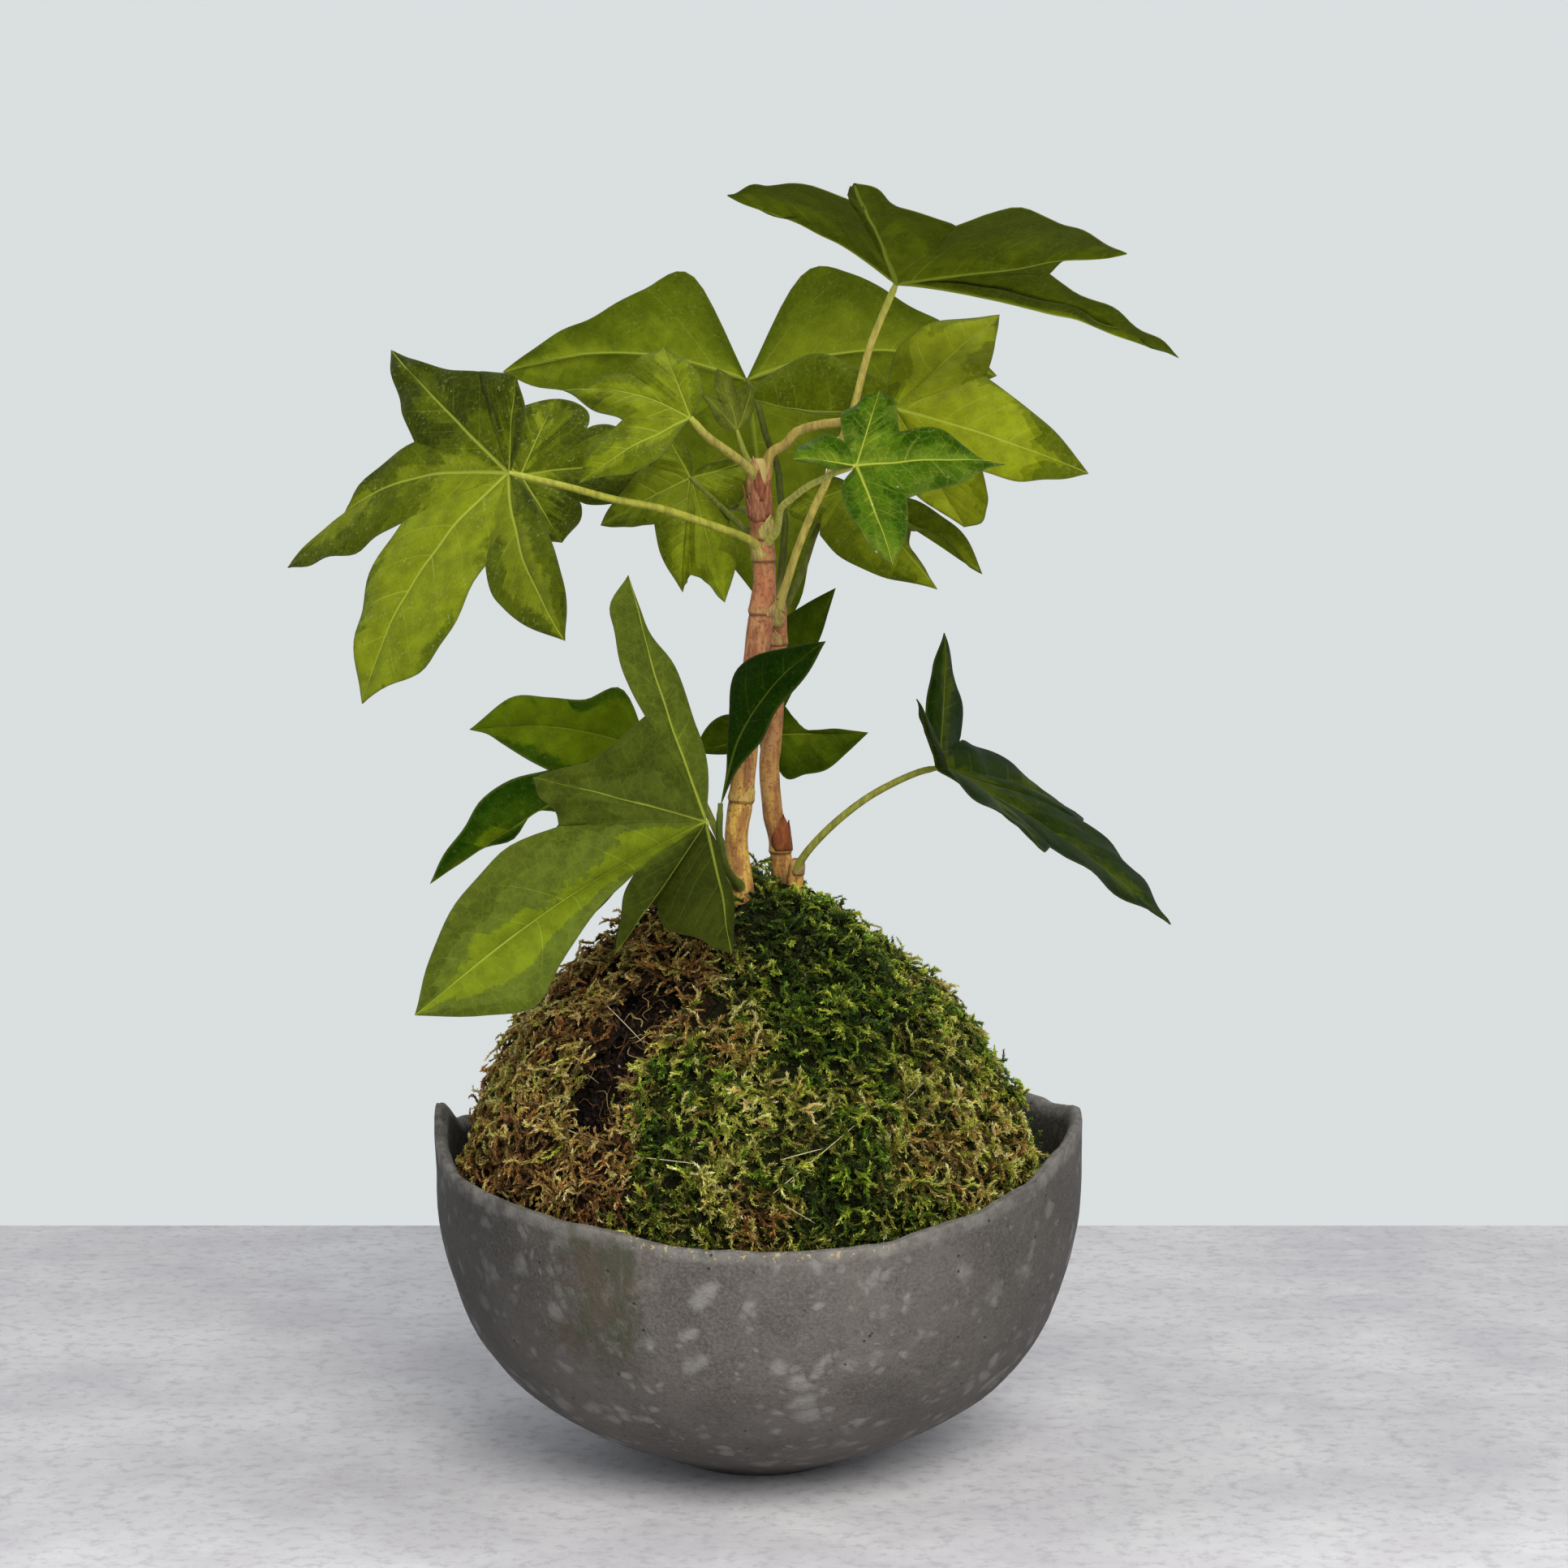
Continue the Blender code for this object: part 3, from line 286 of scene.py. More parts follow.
LEAVES = {
    "leaf_left": Leaf(
        (-54.6, -38, 233.9), (-0.85, 0.38, -0.37), (-0.52, -0.74, 0.43), 0.06, "two_tone",
        [Lobe(-107, 22, 0, 0, (0.1, 0.15, 0.15, 0.09), (0.02, 0.04, 0.04, 0.02)),
         Lobe(-58, 53, 0, 0, (-0.04, -0.05, -0.05, -0.03), (0.02, 0.03, 0.03, 0.02)),
         Lobe(-1, 62, 0, -7, (0.04, 0.02, -0.06, -0.05), (0.05, 0.1, 0.07, 0.06)),
         Lobe(44, 60, 0, -3, (0.1, 0.14, 0.12, 0.08), (0.07, 0.16, 0.19, 0.08)),
         Lobe(104, 50, 0, -2, (0.11, 0.13, 0.12, 0.07), (0.08, 0.1, 0.11, 0.09))],
        [Notch(-83, 27), Notch(-36, 27), Notch(7, 27), Notch(77, 24)],
        [(1.1, -10, 215.3), (-2.4, -14, 218.5), (-11.1, -20, 222), (-21.5, -26, 225.7),
         (-32, -31, 228), (-41.8, -35, 230.8)], 0.95),
    "leaf_left_back": Leaf(
        (-56.3, 16, 232.3), (0.99, -0.08, 0.06), (-0.10, -0.86, 0.50), 0.05, "two_tone",
        [Lobe(-140, 20), Lobe(-62, 22), Lobe(0, 31, 0, 0, 0.24, 0.24), Lobe(66, 21, 0, 0, 0.3, 0.2),
         Lobe(145, 22)],
        [Notch(-100, 12), Notch(-32, 17), Notch(34, 19), Notch(110, 13)],
        [(0.7, -9, 222.7), (-5.6, 2, 225.1), (-25.9, 14, 227.5), (-45.4, 21, 229.7)], 0.9),
    "leaf_crown_left": Leaf(
        (-14.9, -28, 245.9), (-0.90, 0.39, 0.18), (-0.20, -0.76, 0.61), 0.06, "lime",
        [Lobe(-50, 21, 0, 0, 0.25, 0.15),
         Lobe(0, 32, 0, -2, (0.02, 0.02, -0.02, -0.04), (0.04, 0.06, 0.05, 0.02)),
         Lobe(54, 29, 0, 0, (0.06, 0.11, 0.13, 0.07), (0.12, 0.23, 0.21, 0.11))],
        [Notch(-22, 19), Notch(20, 15)],
        [(-0.2, -10, 231.6), (-1.1, -12, 233.3), (-4.9, -17, 236.9), (-11.2, -24, 241.7)], 1.1),
    "leaf_young": Leaf(
        (-4.9, -6, 243), (-0.28, -0.22, 0.93), (0.63, -0.77, 0), 0.05, "young",
        [Lobe(-40, 11, 0, 0, 0.2, 0.1), Lobe(0, 15), Lobe(30, 13, 0, 0, 0.1, 0.2)],
        [Notch(-19, 8, -3), Notch(15, 8, -5)],
        [(-0.4, -9, 232.3), (-3, -7, 237.5)], 0.7),
    "leaf_back": Leaf(
        (-3.1, 36, 254.9), (0.11, 0.35, -0.93), (0, 0.94, 0.35), 0.05, "back",
        [Lobe(-81, 62, 9, -6, (0.41, 0.41, 0.3, 0.19), 0.05),
         Lobe(0, 68, -2, 0, (0.02, 0.04, 0.05, 0.06), (0.01, 0.02, 0.02, 0)),
         Lobe(94, 61, 10, 5, (-0.01, -0.03, -0.04, 0.01), (0.41, 0.35, 0.24, 0.14))],
        [Notch(-44, 27, 5), Notch(55, 28, 5)],
        [(4.4, 8, 201.1), (6.1, 14, 219.6), (5.1, 19, 226.9), (4.3, 24, 234.1), (1.6, 29, 241.3),
         (-0.4, 33, 248.7)], 0.95),
    "leaf_star": Leaf(
        (-15.9, 6, 231.8), (-0.05, -0.50, -0.86), (-0.10, -0.86, 0.50), 0.05, "lime",
        [Lobe(-150, 17), Lobe(-57, 24, 0, 0, (0.01, 0.01, 0.04, 0.04), (0.01, 0.07, 0.07, 0.05)),
         Lobe(0, 30, 0, 0, (0.04, 0.07, 0.06, 0.03), (-0.09, -0.05, -0.01, -0.01)),
         Lobe(17, 34, 0, 0, (-0.09, -0.07, -0.04, 0), (0.05, 0.1, 0.1, 0.06)), Lobe(102, 15)],
        [Notch(-105, 11), Notch(-30, 15), Notch(4, 26), Notch(45, 13)],
        [(0.9, -9, 216.8), (-3.1, -6, 220.4), (-9.3, 0, 225.7)], 0.9),
    "leaf_top": Leaf(
        (31.1, -22, 276.1), (-0.18, -0.89, 0.41), (0.10, 0.40, 0.91), 0.01, "olive",
        [Lobe(-56, 43, 11, 4, (-0.13, -0.18, -0.15, -0.02), (0.23, 0.22, 0.15, 0.09)),
         Lobe(0, 57, -6, 0, 0.04, (0.01, -0.08, -0.03, 0.03)),
         Lobe(79, 53, 2, 0, (0.28, 0.29, 0.18, 0.1), (-0.09, -0.17, -0.2, -0.17)),
         Lobe(122, 71, 0, -4, (-0.02, 0.03, 0.03, 0.03), (-0.09, -0.11, -0.1, -0.06))],
        [Notch(-6, 40, -2), Notch(30, 35, -4), Notch(92, 34, 4)],
        [(4, 8, 199.8), (7, 5, 208.9), (9.5, 3, 216.6), (12.9, 0, 225), (15.6, -3, 230.9),
         (18.9, -8, 240.3), (21.9, -12, 248.7), (25.3, -17, 261.8)], 1.0),
    "leaf_right": Leaf(
        (31.2, -10, 248), (0.91, -0.26, -0.32), (-0.11, -0.91, 0.41), 0.05, "lime_bright",
        [Lobe(-37, 32, -20, 0, 0.25, (0.17, 0.31, 0.35, 0.33)),
         Lobe(1, 47, 0, 0, (0.06, 0.1, 0.09, 0.06), (0.02, 0.04, 0.04, 0.03)),
         Lobe(69, 35, -11, 0, (0.03, 0.03, 0.02, 0.02), (0.17, 0.21, 0.19, 0.1)),
         Lobe(189, 40, -17, 3, (0.11, 0.22, 0.22, 0.13), 0.1)],
        [Notch(-17, 26, -4), Notch(42, 22, -7), Notch(130, 6, -2)],
        [(0.3, -10, 231.1), (1.6, -10, 233.3), (2.8, -11, 237.7), (6.3, -12, 239.9),
         (8.8, -13, 242.7), (14.5, -15, 244.4), (18.7, -16, 244.9), (25, -14, 246.4)], 1.2),
    "leaf_front": Leaf(
        (21.6, -46, 235.7), (0.99, 0.13, 0.01), (0.10, -0.80, 0.60), 0.05, "glossy",
        [Lobe(-79, 27, 0, 0, (0.19, 0.21, 0.19, 0.14), (0.05, 0.08, 0.09, 0.05)),
         Lobe(0, 33, 0, 0, (0.01, 0.03, 0.04, 0.01), (0.1, 0.12, 0.03, -0.05)),
         Lobe(70, 20, 0, 0, (0.05, 0.11, 0.14, 0.08), (0.18, 0.26, 0.17, 0.14)),
         Lobe(177, 14, 0, 0, (0.27, 0.28, 0.26, 0.2), (0.09, 0.16, 0.13, 0.09))],
        [Notch(-45, 14), Notch(38, 13), Notch(111, 6)],
        [(1.1, -10, 216.8), (4.2, -16, 220.2), (5.2, -24, 225.6), (7.5, -30, 228),
         (10.9, -36, 230.8), (14.3, -41, 232.7), (16.7, -44, 234)], 0.85),
    "leaf_right_low": Leaf(
        (22, 14, 229.5), (0.59, -0.37, -0.72), (-0.19, -0.93, 0.33), 0.05, "lime",
        [Lobe(-109, 16, -6, 0, 0.3, (-0.22, 0, 0.03, 0.08)),
         Lobe(0, 35, 8, 0, (0.08, 0.1, 0.09, 0.04), (-0.1, -0.07, -0.04, -0.03)),
         Lobe(18, 37, -11, 0, (-0.13, -0.16, -0.09, 0), (0.07, 0.15, 0.16, 0.13))],
        [Notch(-70, 14, -4), Notch(12, 19, 2)],
        [(4.1, 9, 197), (10, 15, 209), (14.4, 18, 220.7)], 0.9),
    "leaf_low_front": Leaf(
        (-11.7, -28, 155.2), (-0.73, -0.53, -0.43), (0.42, -0.84, 0.34), 0.04, "grey",
        [Lobe(-103, 58, 6, 2, (0.07, 0.07, 0.06, 0), (0.1, 0.15, 0.17, 0.16)),
         Lobe(-42, 44, 3, 0, (-0.04, -0.08, -0.09, -0.03), (-0.08, 0.01, 0.07, 0.05)),
         Lobe(0, 81, -6, -3, (0.12, 0.15, 0.15, 0.09), (0.04, 0.12, 0.23, 0.14)),
         Lobe(18, 41, 3, 0, (0.05, 0.06, 0.05, 0.03), (-0.08, -0.12, -0.13, -0.09)),
         Lobe(57, 33, 12, 0, (0.18, 0.18, 0.09, 0.06), (0.06, 0.06, 0.08, 0.06))],
        [Notch(-86, 28, 9), Notch(-28, 37), Notch(1, 26, 9), Notch(22, 23, -8)],
        [(-4.6, -10, 137.3), (-10.2, -14, 143.6), (-12.6, -20, 150.1)], 1.1),
    "leaf_low_left": Leaf(
        (-25.8, 4, 168), (-0.85, -0.18, -0.50), (0.22, -0.98, -0.02), 0.05, "dark",
        [Lobe(-38, 43, -2, -3, (0.32, 0.24, 0.23, 0.2), (0, -0.01, -0.03, -0.05)),
         Lobe(0, 60, 1, -2, (0.12, 0.16, 0.11, 0.08), (-0.12, -0.02, -0.06, -0.03)), Lobe(34, 52)],
        [Notch(-22, 25, 2), Notch(6, 24)],
        [(-5, -9, 139.1), (-8.6, -1, 146.5), (-16.3, 4, 161.2)], 0.95),
    "leaf_low_upright": Leaf(
        (-8.5, -24, 159), (0.63, -0.01, 0.78), (-0.53, -0.74, 0.42), 0.04, "dark",
        [Lobe(3, 44, 6, 5, (-0.01, 0.04, 0, 0.04), (0.1, 0.25, 0.38, 0.23))],
        [],
        [(-3.9, -11, 137.5), (-6.8, -18, 142.3), (-8.3, -22, 147.5), (-8.8, -24, 152.5)], 0.95),
    "leaf_low_back": Leaf(
        (0.4, 30, 169.1), (0.45, 0.11, 0.88), (0.03, -0.99, 0.11), 0.05, "middle",
        [Lobe(-62, 26, 0, 0, (0.4, 0.38, 0.34, 0.18), (-0.2, -0.16, -0.08, -0.04)),
         Lobe(0, 40, 0, 0, (0.01, 0.03, 0.04, 0.02), (0.05, 0.09, 0.13, 0.08)), Lobe(132, 17)],
        [Notch(-13, 9), Notch(84, 9)],
        [(4.4, 10, 146.9), (2.8, 16, 150.1), (1.8, 24, 158.9)], 0.9),
    "leaf_low_right": Leaf(
        (42, -4, 164.9), (0.81, -0.08, -0.59), (0.57, -0.17, 0.81), 0.04, "dark",
        [Lobe(-122, 29, 26, 0, 0.1, 0.1), Lobe(-48, 44, 6), Lobe(0, 65, 2, 0, 0.16, 0.2), Lobe(50, 47),
         Lobe(125, 36, 32, 0, 0.14, 0.18)],
        [Notch(-85, 15, 10), Notch(-24, 26, 2), Notch(26, 38, 5), Notch(88, 16, 8)],
        [(8.6, 2, 138), (9.1, 0, 141), (12.2, -2, 145.9), (18, -4, 152.1), (24.8, -5, 157.6),
         (31.4, -5, 161.4), (37.4, -5, 164)], 0.95),
}

LOOKS = {
    "two_tone": Look((0.048, 0.068, 0.003), (0.102, 0.136, 0.004), (0.212, 0.262, 0.010),
                     0.46, 0.84, 0.9, 0.46, 0.30, 0.07, 1.0),
    "lime": Look((0.060, 0.082, 0.003), (0.112, 0.146, 0.004), (0.182, 0.228, 0.007),
                 0.50, 0.86, 0.8, 0.50, 0.30, 0.09),
    "lime_bright": Look((0.078, 0.104, 0.002), (0.155, 0.190, 0.004), (0.245, 0.290, 0.010),
                        0.52, 0.80, 0.7, 0.48, 0.42, 0.04, 0.4),
    "young": Look((0.085, 0.108, 0.010), (0.124, 0.150, 0.016), (0.168, 0.195, 0.026),
                  0.40, 0.80, 0.5, 0.60),
    "back": Look((0.076, 0.112, 0.003), (0.110, 0.152, 0.004), (0.176, 0.222, 0.008),
                 0.42, 0.76, 0.8, 0.50, 0.42),
    "olive": Look((0.066, 0.090, 0.001), (0.086, 0.118, 0.002), (0.150, 0.196, 0.003),
                  0.34, 0.72, 1.0, 0.52),
    "glossy": Look((0.026, 0.078, 0.002), (0.066, 0.140, 0.005), (0.128, 0.206, 0.010),
                   0.22, 0.60, 1.2, 0.34, 0.30, 0.08, 0.5, 0.20, True),
    "grey": Look((0.086, 0.120, 0.012), (0.124, 0.170, 0.020), (0.205, 0.268, 0.012),
                 0.13, 0.60, 0.95, 0.48, 0.62, 0.04, 0.15),
    "dark": Look((0.009, 0.034, 0.001), (0.024, 0.056, 0.002), (0.086, 0.128, 0.003),
                 0.22, 0.62, 0.20, 0.46, 0.40, 0.12, 0.1, 0.05),
    "middle": Look((0.033, 0.060, 0.001), (0.054, 0.090, 0.002), (0.090, 0.130, 0.004),
                   0.26, 0.66, 0.3, 0.50, 0.30, 0.12, 0.1, 0.08),
}
# More or less lime on one lobe of a leaf, counted in the order of its table
LOBE_LIME = {
    "leaf_left": (-0.30, -0.26, -0.04, 0.20, -0.02),
    "leaf_left_back": (-0.20, -0.20, -0.16, -0.16, -0.20),
    "leaf_right": (0.10, 0.14, 0.00, -0.60),
    "leaf_low_front": (-0.60, -0.44, 0.01, -0.70, -0.70),
    "leaf_low_left": (0.30, -0.05, 0.05),
    "leaf_low_upright": (-0.30,),
    "leaf_back": (-0.02, 0.12, -0.06),
}
# More or less lime towards the far end of one lobe
LOBE_TIP = {("leaf_right", 1): -0.75, ("leaf_low_front", 2): -0.20}
# More lime on a lobe's anticlockwise half and less on the other
LOBE_LEAN = {("leaf_low_front", 2): 0.13}
# Painted light and shade on each lobe: how bright it is beside the others
LOBE_PAINTED_LIGHT = {
    "leaf_left": (0.74, 0.74, 0.82, 1.02, 0.75),
    "leaf_right": (0.9, 1.04, 0.78, 1.30),
    "leaf_low_front": (0.90, 0.56, 0.88, 0.42, 0.28),
    "leaf_low_left": (1.40, 1.45, 1.40),
    "leaf_low_upright": (0.70,),
    "leaf_low_right": (0.50,) * 5,
    "leaf_back": (1.0, 1.2, 1.24),
}
VEIN = (0.43, 0.50, 0.06)
UNDERSIDE = (0.115, 0.150, 0.010)
GLOSS_TINT = (0.88, 1.0, 0.16)
PETIOLE = (0.210, 0.235, 0.035)
PETIOLES = {
    "leaf_top": (0.520, 0.430, 0.095), "leaf_right": (0.330, 0.250, 0.060),
    "leaf_back": (0.060, 0.075, 0.008), "leaf_low_right": (0.225, 0.230, 0.040),
    "leaf_left": (0.300, 0.300, 0.040), "leaf_crown_left": (0.320, 0.275, 0.060),
    "leaf_front": (0.440, 0.430, 0.090), "leaf_low_upright": (0.060, 0.085, 0.010),
    "leaf_right_low": (0.110, 0.130, 0.018), "leaf_star": (0.110, 0.130, 0.016),
}


class Value:
    """A socket of a material's graph that takes plain arithmetic, eased steps and colour mixes."""

    def __init__(self, graph, socket):
        self.graph = graph
        self.socket = socket

    def __add__(self, other):
        return self.graph.math("ADD", self, other)

    def __sub__(self, other):
        return self.graph.math("SUBTRACT", self, other)

    def __mul__(self, other):
        return self.graph.math("MULTIPLY", self, other)

    def __truediv__(self, other):
        return self.graph.math("DIVIDE", self, other)

    def __abs__(self):
        return self.graph.math("ABSOLUTE", self)

    def ease(self, low, high, start=0.0, end=1.0):
        """start below low, end above high, and an eased step between them."""
        ends = {"Value": self, "From Min": low, "From Max": high, "To Min": start, "To Max": end}
        return self.graph.node("ShaderNodeMapRange", ends, interpolation_type="SMOOTHSTEP")

    def fall(self, low, high):
        """1 below low and 0 above high."""
        return self.ease(low, high, 1.0, 0.0)

    def mix(self, share, other, blend="MIX"):
        """This colour with a share of another laid over it."""
        return self.graph.mix(share, self, other, blend)

    def tinted(self, other):
        """This colour times another one, or times a number."""
        return self.mix(1.0, other, "MULTIPLY")

    def parts(self):
        found = self.graph.node("ShaderNodeSeparateXYZ", {0: self})
        return [Value(self.graph, socket) for socket in found.socket.node.outputs]


class Graph:
    """Builds a material's nodes, with one short call for each kind of node."""

    def __init__(self, name):
        self.material = bpy.data.materials.new(name)
        self.material.use_nodes = True
        self.tree = self.material.node_tree
        self.shader = self.tree.nodes["Principled BSDF"]

    def feed(self, socket, value):
        if isinstance(value, Value):
            self.tree.links.new(value.socket, socket)
        elif isinstance(value, (int, float)):
            socket.default_value = value
        else:
            missing = len(socket.default_value) - len(value)
            socket.default_value = (*value, *(1.0,) * missing)

    def node(self, kind, inputs, output=0, **settings):
        """An output of a new node, with its inputs by name or number."""
        made = self.tree.nodes.new(kind)
        for key, value in settings.items():
            setattr(made, key, value)
        for key, value in inputs.items():
            self.feed(made.inputs[key], value)
        return Value(self, made.outputs[output])

    def math(self, operation, *values):
        return self.node("ShaderNodeMath", dict(enumerate(values)), operation=operation)

    def attribute(self, name, output="Fac"):
        return self.node("ShaderNodeAttribute", {}, output, attribute_name=name)

    def place(self):
        return self.node("ShaderNodeTexCoord", {}, "Object")

    def joined(self, x, y, z):
        return self.node("ShaderNodeCombineXYZ", {0: x, 1: y, 2: z})

    def moved(self, place, by, most):
        """A place moved by three numbers, each times its own distance."""
        return self.node("ShaderNodeVectorMath", {0: self.joined(*by), 1: most, 2: place},
                         operation="MULTIPLY_ADD")

    def scaled(self, place, scale):
        """The inputs of a texture whose scale is one number, or three for a stretched one."""
        if isinstance(scale, tuple):
            place = self.node("ShaderNodeVectorMath", {0: place, 1: scale}, operation="MULTIPLY")
            scale = 1.0
        return {"Vector": place, "Scale": scale}

    def noise(self, place, scale, detail=2.0, rough=0.5, warp=0.0):
        inputs = {**self.scaled(place, scale), "Detail": detail, "Roughness": rough, "Distortion": warp}
        return self.node("ShaderNodeTexNoise", inputs)

    def cells(self, place, scale, output="Distance", feature="F1"):
        return self.node("ShaderNodeTexVoronoi", self.scaled(place, scale), output, feature=feature)

    def mix(self, share, first, second, blend="MIX"):
        inputs = {0: share, 6: first, 7: second}
        return self.node("ShaderNodeMix", inputs, 2, data_type="RGBA", blend_type=blend)

    def bump(self, height, distance, strength=1.0):
        return self.node("ShaderNodeBump", {"Height": height, "Distance": distance, "Strength": strength})

    def shaded(self, **inputs):
        """The material, with these inputs of its shader."""
        for key, value in inputs.items():
            self.feed(self.shader.inputs[key.replace("_", " ")], value)
        return self.material

    def glow_through(self, colour, share, **normal):
        """Lets some of the light behind a thin leaf come through it."""
        through = self.node("ShaderNodeBsdfTranslucent", {"Color": colour, **normal})
        plain = Value(self, self.shader.outputs[0])
        mixed = self.node("ShaderNodeMixShader", {0: share, 1: plain, 2: through})
        self.feed(self.tree.nodes["Material Output"].inputs["Surface"], mixed)


def dimmed(colour, share):
    return tuple(part * share for part in colour)


def blade_material(name, look):
    """A waxy blade: sectors of three greens between the side veins, pale veins and fine cells."""
    g = Graph(name)
    flat = g.attribute("flat", "Vector")
    keys = ("rib", "rib_width", "phase", "gap", "margin", "under", "side", "bias", "shade")
    rib, rib_width, phase, gap, margin, under, side, bias, shade = (g.attribute(key) for key in keys)

    # Pale main rib, side veins and a fine net
    main = (rib / rib_width).fall(0.35, 1.0)
    off_vein = abs(g.math("FRACT", phase) - 0.5) * gap
    side_vein = off_vein.fall(0.04, 0.30) * margin.ease(0.8, 5.0)
    side_vein = side_vein * g.noise(flat, 48.0).ease(0.36, 0.62, 0.25, 1.0)
    net_place = g.moved(flat, [g.noise(flat, 300.0)] * 3, (0.0015,) * 3)
    net = g.cells(net_place, 430.0, feature="DISTANCE_TO_EDGE").fall(0.02, 0.10)

    # Sectors of colour: one draw for each strip between two side veins, with ragged edges
    draw = g.noise(g.joined(g.math("FLOOR", phase) * 0.83, rib * 0.085, side * 3.7), 1.0, 1.0)
    grain = g.cells(flat, 620.0, "Color").parts()[0]
    near_rib = (rib / (rib + margin + 0.01)).fall(0.0, 1.0)
    ragged = g.noise(flat, 260.0, 6.0, 0.75) - 0.5
    value = draw * 0.62 + g.noise(flat, 62.0) * 0.42 + near_rib * look.centre + grain * 0.05
    value = value + ragged * 0.30 + bias
    # The value runs from about 0.35 to 1.0
    lime_from, middle_from = (0.98 - 0.60 * share for share in (look.lime_share, look.middle_share))
    lime = value.ease(lime_from - 0.3 * look.soft, lime_from + look.soft)
    middle = value.ease(middle_from - 0.3 * look.soft, middle_from + 1.2 * look.soft)
    colour = g.mix(middle, look.dark, look.middle).mix(lime, look.lime)
    cloud = g.noise(flat, 190.0, 8.0, 0.78)
    clouded = g.mix(cloud.ease(0.34, 0.66), (0.34, 0.34, 0.36), (0.66, 0.66, 0.58))
    colour = colour.mix(0.8, clouded, "OVERLAY")
    # Pale flecks, thick in some places and missing in others
    fleck = g.noise(flat, 1100.0, 3.0, 0.6).ease(0.57, 0.68)
    fleck = fleck * g.noise(flat, 120.0).ease(0.40, 0.62, 0.08, 0.70 * look.flecks)
    colour = colour.mix(fleck, (0.34, 0.38, 0.14))
    colour = colour.mix(g.noise(flat, 760.0, 4.0, 0.65).ease(0.50, 0.68, 0.0, 0.30), look.dark)
    colour = colour.mix(net * (0.07 * look.veins), VEIN)
    colour = colour.mix(side_vein * (lime * (0.24 * look.veins) + 0.20 * look.veins), VEIN)
    colour = colour.mix(main * min(1.0, 0.85 * look.veins), VEIN)
    colour = colour.mix(margin.ease(0.15, 0.75, 0.45, 0.0), (0.10, 0.12, 0.03))
    colour = colour.mix(under * 0.30, UNDERSIDE)
    # Painted light and shade for each lobe; the veins keep more of their brightness under it
    vein = g.math("MAXIMUM", main, side_vein * 0.6)
    colour = colour.tinted(g.math("SUBTRACT", 1.0, shade) * (vein * 0.40) + shade)
    if look.spots:
        picked = g.cells(flat, 240.0, "Color").parts()[1].ease(0.62, 0.66)
        spot = g.cells(flat, 240.0).ease(0.02, 0.10, 0.85, 0.0) * picked
        colour = colour.mix(spot, (0.62, 0.68, 0.55))

    height = side_vein * -0.35 + net * -0.12 + main * -0.8 + g.noise(flat, 420.0, 3.0) * 0.35
    normal = g.bump(height, 0.00022, 0.7)
    g.glow_through(colour.tinted((1.5, 1.5, 0.4)), 0.26, Normal=normal)
    rough = cloud * 0.22 + (look.rough - 0.11) + under * 0.16
    return g.shaded(Base_Color=colour, Roughness=rough, Normal=normal, Specular_IOR_Level=look.shine,
                    Specular_Tint=GLOSS_TINT)


def petiole_material(name, colour):
    """A ribbed, faintly downy stalk, yellower where it clasps the stem."""
    g = Graph(name)
    place, along = g.place(), g.attribute("along")
    streak = g.noise(place, (900.0, 900.0, 160.0), 3.0, 0.6)
    shade = g.mix(streak.ease(0.32, 0.68), dimmed(colour, 0.72), dimmed(colour, 1.22))
    shade = shade.mix(along.ease(0.0, 0.16, 0.75, 0.0), (0.38, 0.32, 0.09))
    shade = shade.mix(along.ease(0.8, 1.0, 0.0, min(0.6, 1.6 * colour[0])), VEIN)
    down = g.noise(place, 3200.0, 2.0, 0.6)
    normal = g.bump(down * 0.4 + streak * 0.6, 0.00018, 0.8)
    return g.shaded(Base_Color=shade, Roughness=0.62, Normal=normal, Specular_IOR_Level=0.2,
                    Specular_Tint=(1.0, 0.92, 0.6))


def bark_material(name, rings, steps):
    """Young bark: tan near the moss, pinkish above, with fine streaks, pores and darker scars."""
    (low, tan), (middle, pink), (high, end) = steps
    g = Graph(name)
    place = g.place()
    height = place.parts()[2]
    colour = g.mix(height.ease(low * MM, middle * MM), tan, pink)
    colour = colour.mix(height.ease(middle * MM, high * MM), end)
    patch = g.noise(place, (260.0, 260.0, 90.0), 4.0, 0.62)
    blush = g.noise(place, (420.0, 420.0, 130.0), 5.0, 0.68)
    streak = g.noise(place, (1500.0, 1500.0, 170.0), 3.0, 0.65)
    speckle = g.noise(place, 1300.0, 3.0, 0.6)
    pore = g.cells(place, (620.0, 620.0, 380.0))
    colour = colour.mix(patch.ease(0.38, 0.66, 0.0, 0.6), (0.46, 0.27, 0.12))
    colour = colour.mix(blush.ease(0.44, 0.62, 0.0, 0.8), dimmed(pink, 0.50))
    colour = colour.mix(streak.ease(0.50, 0.72, 0.0, 0.6), dimmed(pink, 0.42))
    colour = colour.mix(speckle.ease(0.53, 0.64, 0.0, 0.6), (0.13, 0.055, 0.022))
    colour = colour.mix(height.ease(0.228, 0.232, 0.0, 0.85), (0.42, 0.34, 0.12))
    colour = colour.mix(pore.ease(0.08, 0.22, 0.4, 0.0), (0.50, 0.34, 0.18))
    for ring in rings:
        away = height - ring * MM
        most = 0.75 if ring in YELLOW_RINGS else 0.15
        colour = colour.mix(abs(away - 0.0006).ease(0.0003, 0.0013, most, 0.0), (0.46, 0.31, 0.09))
        colour = colour.mix(abs(away + 0.0004).ease(0.0001, 0.0006, 0.8, 0.0), (0.11, 0.042, 0.020))
    normal = g.bump(pore.ease(0.08, 0.3, 0.35, 0.0) + (streak * 0.5 + patch * 0.5), 0.00035, 0.8)
    return g.shaded(Base_Color=colour, Roughness=0.6, Normal=normal, Specular_IOR_Level=0.2,
                    Specular_Tint=(1.0, 0.85, 0.6))


